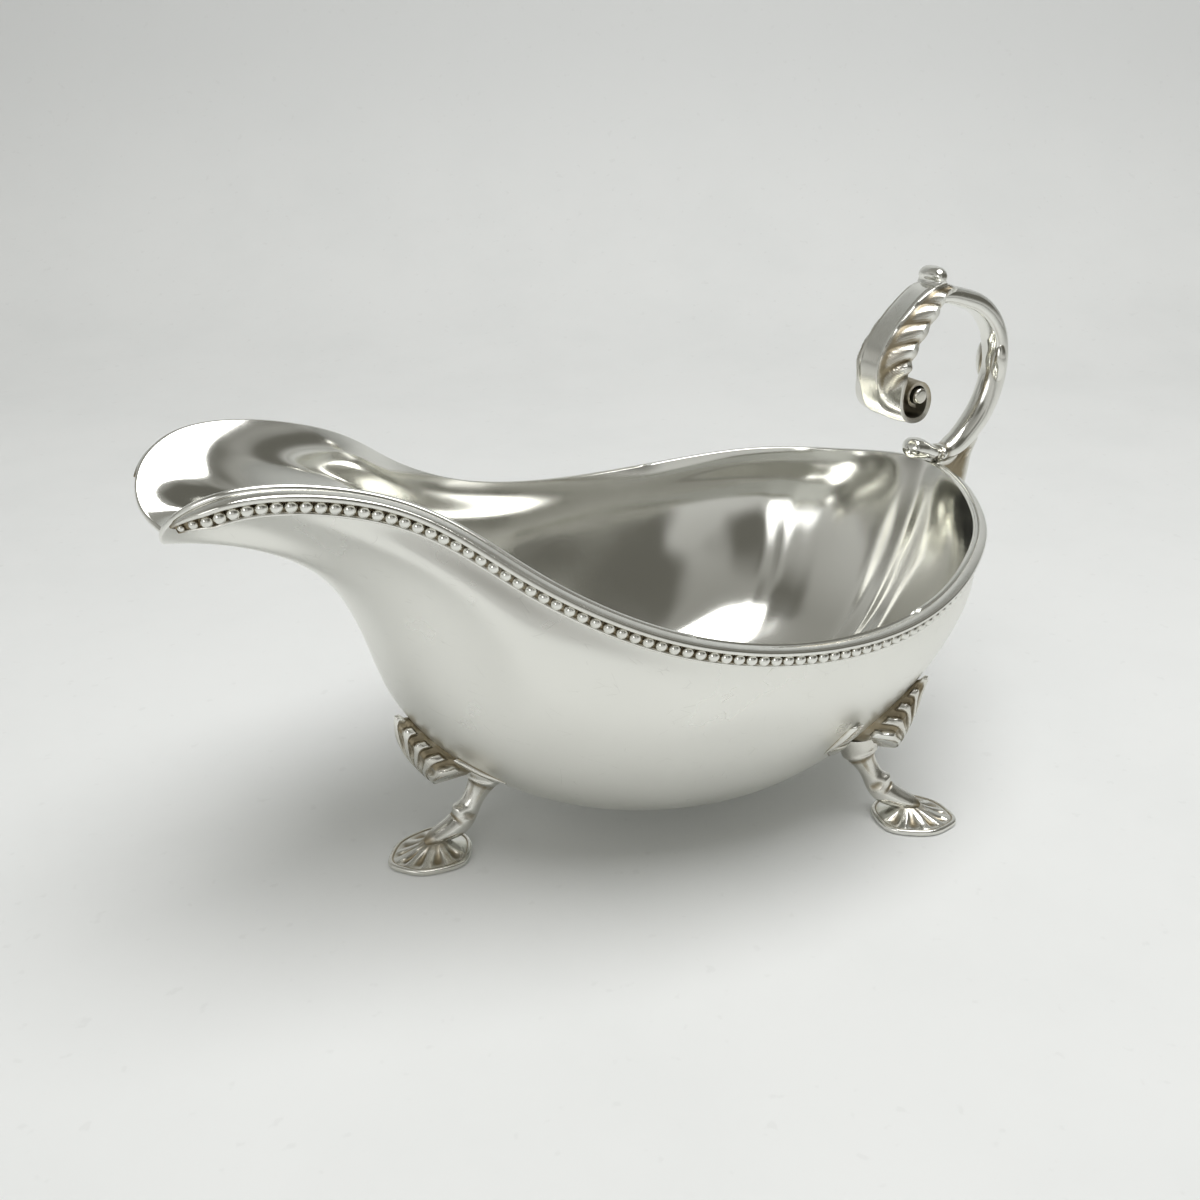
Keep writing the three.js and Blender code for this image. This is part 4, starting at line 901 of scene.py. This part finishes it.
def shell(leg):
    """The knee's ribbed shell, built out from the wall."""
    side = np.array(SHELL_EDGE + SHELL_RETURN, float)
    half = np.concatenate([side[:0:-1] * [-1, 1], side])
    knots = run_along(half)
    knots -= knots[len(side) - 1]
    ribbed = knots[len(side) - 1 + len(SHELL_EDGE) - 1]
    pitch = 2 * ribbed / (SHELL_RIBS - 1)
    at = np.linspace(knots[0], knots[-1], SHELL_STEPS)
    edge_points = np.stack([curve(knots, half[:, k], at) for k in (0, 1)], -1)
    along = unit(np.gradient(edge_points, axis=0))
    beyond = np.stack([-along[:, 1], along[:, 0]], -1)
    phase = np.cos(2 * np.pi * at / pitch)
    on = np.clip((ribbed + pitch / 2 - np.abs(at)) / 0.6, 0, 1)
    tooth = np.tanh(phase * TOOTH_SQUARE) * on - (1 - on)
    flute = 0.5 - 0.5 * np.tanh(phase * FLUTE_SQUARE)
    crown_heights, *crowns = np.array(SHELL_CROWN, float).T
    crowns = crowns[0] if leg.front else crowns[1]
    hinge = np.array([0.0, SHELL_HINGE])
    rings, shades = [], []
    for i in range(len(at)):
        ring, shade = [], []
        for way, thick in SHELL_PROFILE:
            block = min(max((thick - 0.3) / 0.2, 0.0), 1.0)
            spare = SHELL_TOOTH * tooth[i] * block - SHELL_UNDERCUT * (1 - block)
            full = edge_points[i] + beyond[i] * spare
            across, height = hinge + (full - hinge) * way
            wall_here = leg.reach(across, height)
            crown = leg.reach(0.0, height) + np.interp(height, crown_heights, crowns)
            fall = SHELL_FALL * way**2.2 * (0.4 + 0.6 * abs(across) / 7)
            groove = on[i] * flute[i] * (0.75 * hump(way, *FLUTE_DEEPEST) + 0.2 * way)
            top = crown - fall - (groove if thick == 1 else 0.3 * flute[i] * on[i] * (thick > 0.8))
            out = wall_here + (max(top, wall_here + SHELL_LEAST) - wall_here) * thick
            ring.append(leg.place(out, across, height))
            sunk = max(-tooth[i], 0.0) * on[i] * (way > 0.93) * (thick > -0.1)
            deep = flute[i] * hump(way, *FLUTE_DARKEST) * (thick == 1) * on[i]
            low = 0.75 if thick < 0.45 else 0.0
            shade.append(min(1.0, 0.85 * sunk + 0.55 * deep + low))
        rings.append(ring)
        shades.append(shade)
    return ring_solid(np.array(rings), np.array(shades))


def wall_leaf(leg, hand, stations, proud, hollow):
    """A leaf on the wall, with a raised rim round a veined hollow, or a plain spur without a hollow."""
    at, across, height, half = through(stations, WALL_LEAF_STEPS)
    half *= np.clip((at[-1] - at) / 0.25, 0, 1) ** 0.5 if hollow else 1.0
    direction = unit(np.stack([np.gradient(across), np.gradient(height)], -1))
    spread = np.linspace(-1, 1, WALL_LEAF_ACROSS)
    rings, shades = [], []
    for k in range(len(at)):
        sides = hand * (across[k] + direction[k, 1] * half[k] * spread)
        heights = height[k] - direction[k, 0] * half[k] * spread
        walls = np.array([leg.reach(side, level) for side, level in zip(sides, heights)])
        full = min(half[k] / 1.2, 1.0)
        veins = 0.8 + 0.2 * np.cos(at[k] * 14)
        dip = hollow * np.clip(1 - (spread / 0.62) ** 2, 0, 1) * veins * full
        raised = walls + proud * (np.sqrt(np.clip(1 - spread**2, 0, 1)) * full) - dip
        face = leg.place(raised, sides, heights)
        back = leg.place(walls - WALL_LEAF_SUNK, sides, heights)
        rings.append(np.concatenate([face, back[::-1]]))
        shade = np.clip(dip / max(hollow, 0.1) * 0.75 + (np.abs(spread) > 0.93) * 0.7, 0, 1)
        shades.append(np.concatenate([shade, 0 * shade + 0.8]))
    return ring_solid(np.array(rings), np.array(shades))


for name in LEG_AXES:
    leg = Leg(name)
    tongue, spur = (TONGUE_FRONT, SPUR_FRONT) if leg.front else (TONGUE_REAR, SPUR_REAR)
    parts = [foot(leg), ankle(leg), shell(leg)]
    for hand in (-1, 1):
        parts.append(wall_leaf(leg, hand, tongue, TONGUE_PROUD, TONGUE_HOLLOW))
        parts.append(wall_leaf(leg, hand, spur, SPUR_PROUD, 0.0))
    make_piece(name + "_cast", parts, leg_silver, "cast_silver", name)

# Camera. It stands in front of the boat's left side and looks down on it, as in the photograph. Its
# place in millimetres, its angles and its lens were fitted to the edge, the feet and the handle.
CAMERA_AT = (-117.64, -198.22, 156.04)
CAMERA_AZIMUTH, CAMERA_PITCH = -29.933, 25.266
CAMERA_LENS, CAMERA_SENSOR = 37.53, 36.0
CAMERA_NEAR = 0.01
camera_data = bpy.data.cameras.new("camera")
camera_data.lens = CAMERA_LENS
camera_data.sensor_width = CAMERA_SENSOR
camera_data.clip_start = CAMERA_NEAR
camera = add("camera", camera_data)
camera.location = (np.array(CAMERA_AT) + SHIFT) / 1000
camera.rotation_euler = (math.radians(90 - CAMERA_PITCH), 0, math.radians(CAMERA_AZIMUTH))
bpy.context.scene.camera = camera
bpy.context.scene.view_settings.view_transform = "Standard"

# Paper sweep. A wide sheet of pale paper that lies under the boat and curves up behind it, square to
# the camera. It isn't part of the boat.
SWEEP_BACK, SWEEP_FRONT, SWEEP_HALF, SWEEP_RADIUS, SWEEP_TOP = 330.0, 1300.0, 1500.0, 260.0, 900.0
PAPER_CLEAN = (0.83, 0.84, 0.835, 1)
PAPER_SMUDGED = (0.8, 0.812, 0.807, 1)
PAPER_SHADED = (0.7, 0.71, 0.708, 1)
PAPER_SPECK = (0.55, 0.55, 0.54, 1)


def paper():
    """Matt paper with faint smudges and specks."""
    recipe = Recipe("paper")
    place = recipe.node("ShaderNodeTexCoord", output="Object")
    smudge = recipe.noise(place, 14.0, 5, 0.6).fade(0.35, 0.75)
    speck = recipe.noise(place, 260.0, 2).fade(0.66, 0.74)
    clean = recipe.blend(smudge, PAPER_CLEAN, PAPER_SMUDGED)
    # The paper gets less light where it curves up behind
    rise = recipe.node("ShaderNodeSeparateXYZ", None, (place,), 2).fade(0.02, 0.17)
    clean = recipe.blend(rise, clean, PAPER_SHADED)
    colour = recipe.blend(speck * 0.12, clean, PAPER_SPECK)
    shader = recipe.node("ShaderNodeBsdfPrincipled", None, {"Base Color": colour, "Roughness": 0.75})
    recipe.node("ShaderNodeOutputMaterial", None, {"Surface": shader})
    return recipe.material


def sweep():
    """The sheet's profile, from the front edge to the top, drawn out to both sides."""
    azimuth = math.radians(CAMERA_AZIMUTH)
    away = np.array([-math.sin(azimuth), math.cos(azimuth)])
    beside = np.array([math.cos(azimuth), math.sin(azimuth)])
    profile = [(-SWEEP_FRONT, 0.0), (SWEEP_BACK, 0.0)]
    for a in np.radians(np.arange(5, 91, 5)):
        profile.append((SWEEP_BACK + SWEEP_RADIUS * math.sin(a), SWEEP_RADIUS * (1 - math.cos(a))))
    profile.append((SWEEP_BACK + SWEEP_RADIUS, SWEEP_TOP))
    points = []
    for far, height in profile:
        for hand in (-1, 1):
            flat = away * far + beside * SWEEP_HALF * hand
            points.append((flat[0] / 1000, flat[1] / 1000, height / 1000))
    faces = [(2 * i, 2 * i + 1, 2 * i + 3, 2 * i + 2) for i in range(len(profile) - 1)]
    add_mesh("paper_sweep", points, faces, paper())


sweep()

# Light. One large soft lamp high over the near side and a weaker one from the left, in a plain grey
# room that the silver reflects, darker upwards and with darker patches.
# Each lamp: place, what it points at, width and height in metres, power
LAMPS = {
    "overhead_lamp": ((0.03, -0.14, 0.8), (0, 0, 0.03), 0.85, 0.55, 5.1),
    "side_lamp": ((-0.85, -0.45, 0.35), (0, 0, 0.05), 0.5, 0.5, 0.8),
}
ROOM_LOW = (0.62, 0.62, 0.6, 1)
ROOM_HIGH = (0.27, 0.268, 0.245, 1)
ROOM_PATCH = (0.13, 0.127, 0.11, 1)
ROOM_SEEN = (0.8, 0.81, 0.81, 1)


def lamp(name, at, towards, width, height, power):
    light = bpy.data.lights.new(name, "AREA")
    light.shape, light.size, light.size_y, light.energy = "ELLIPSE", width, height, power
    made = add(name, light)
    made.location = at
    made.rotation_euler = (Vector(towards) - Vector(at)).to_track_quat("-Z", "Y").to_euler()


for name, setting in LAMPS.items():
    lamp(name, *setting)

world = bpy.data.worlds.new("room")
world.use_nodes = True
bpy.context.scene.world = world
room = Recipe("room", world.node_tree)
direction = room.node("ShaderNodeTexCoord", output="Generated")
upward = room.node("ShaderNodeSeparateXYZ", None, (direction,), 2)
walls = room.blend(upward.fade(-0.1, 0.9), ROOM_LOW, ROOM_HIGH)
patches = room.noise(direction, 1.5, 2, 0.4).fade(0.44, 0.6)
walls = room.blend(patches * upward.fade(-0.1, 0.15), walls, ROOM_PATCH)
camera_ray = room.node("ShaderNodeLightPath", output="Is Camera Ray")
seen = room.blend(camera_ray, walls, ROOM_SEEN)
background = room.node("ShaderNodeBackground", None, (seen, 1.0))
room.node("ShaderNodeOutputWorld", None, (background,))
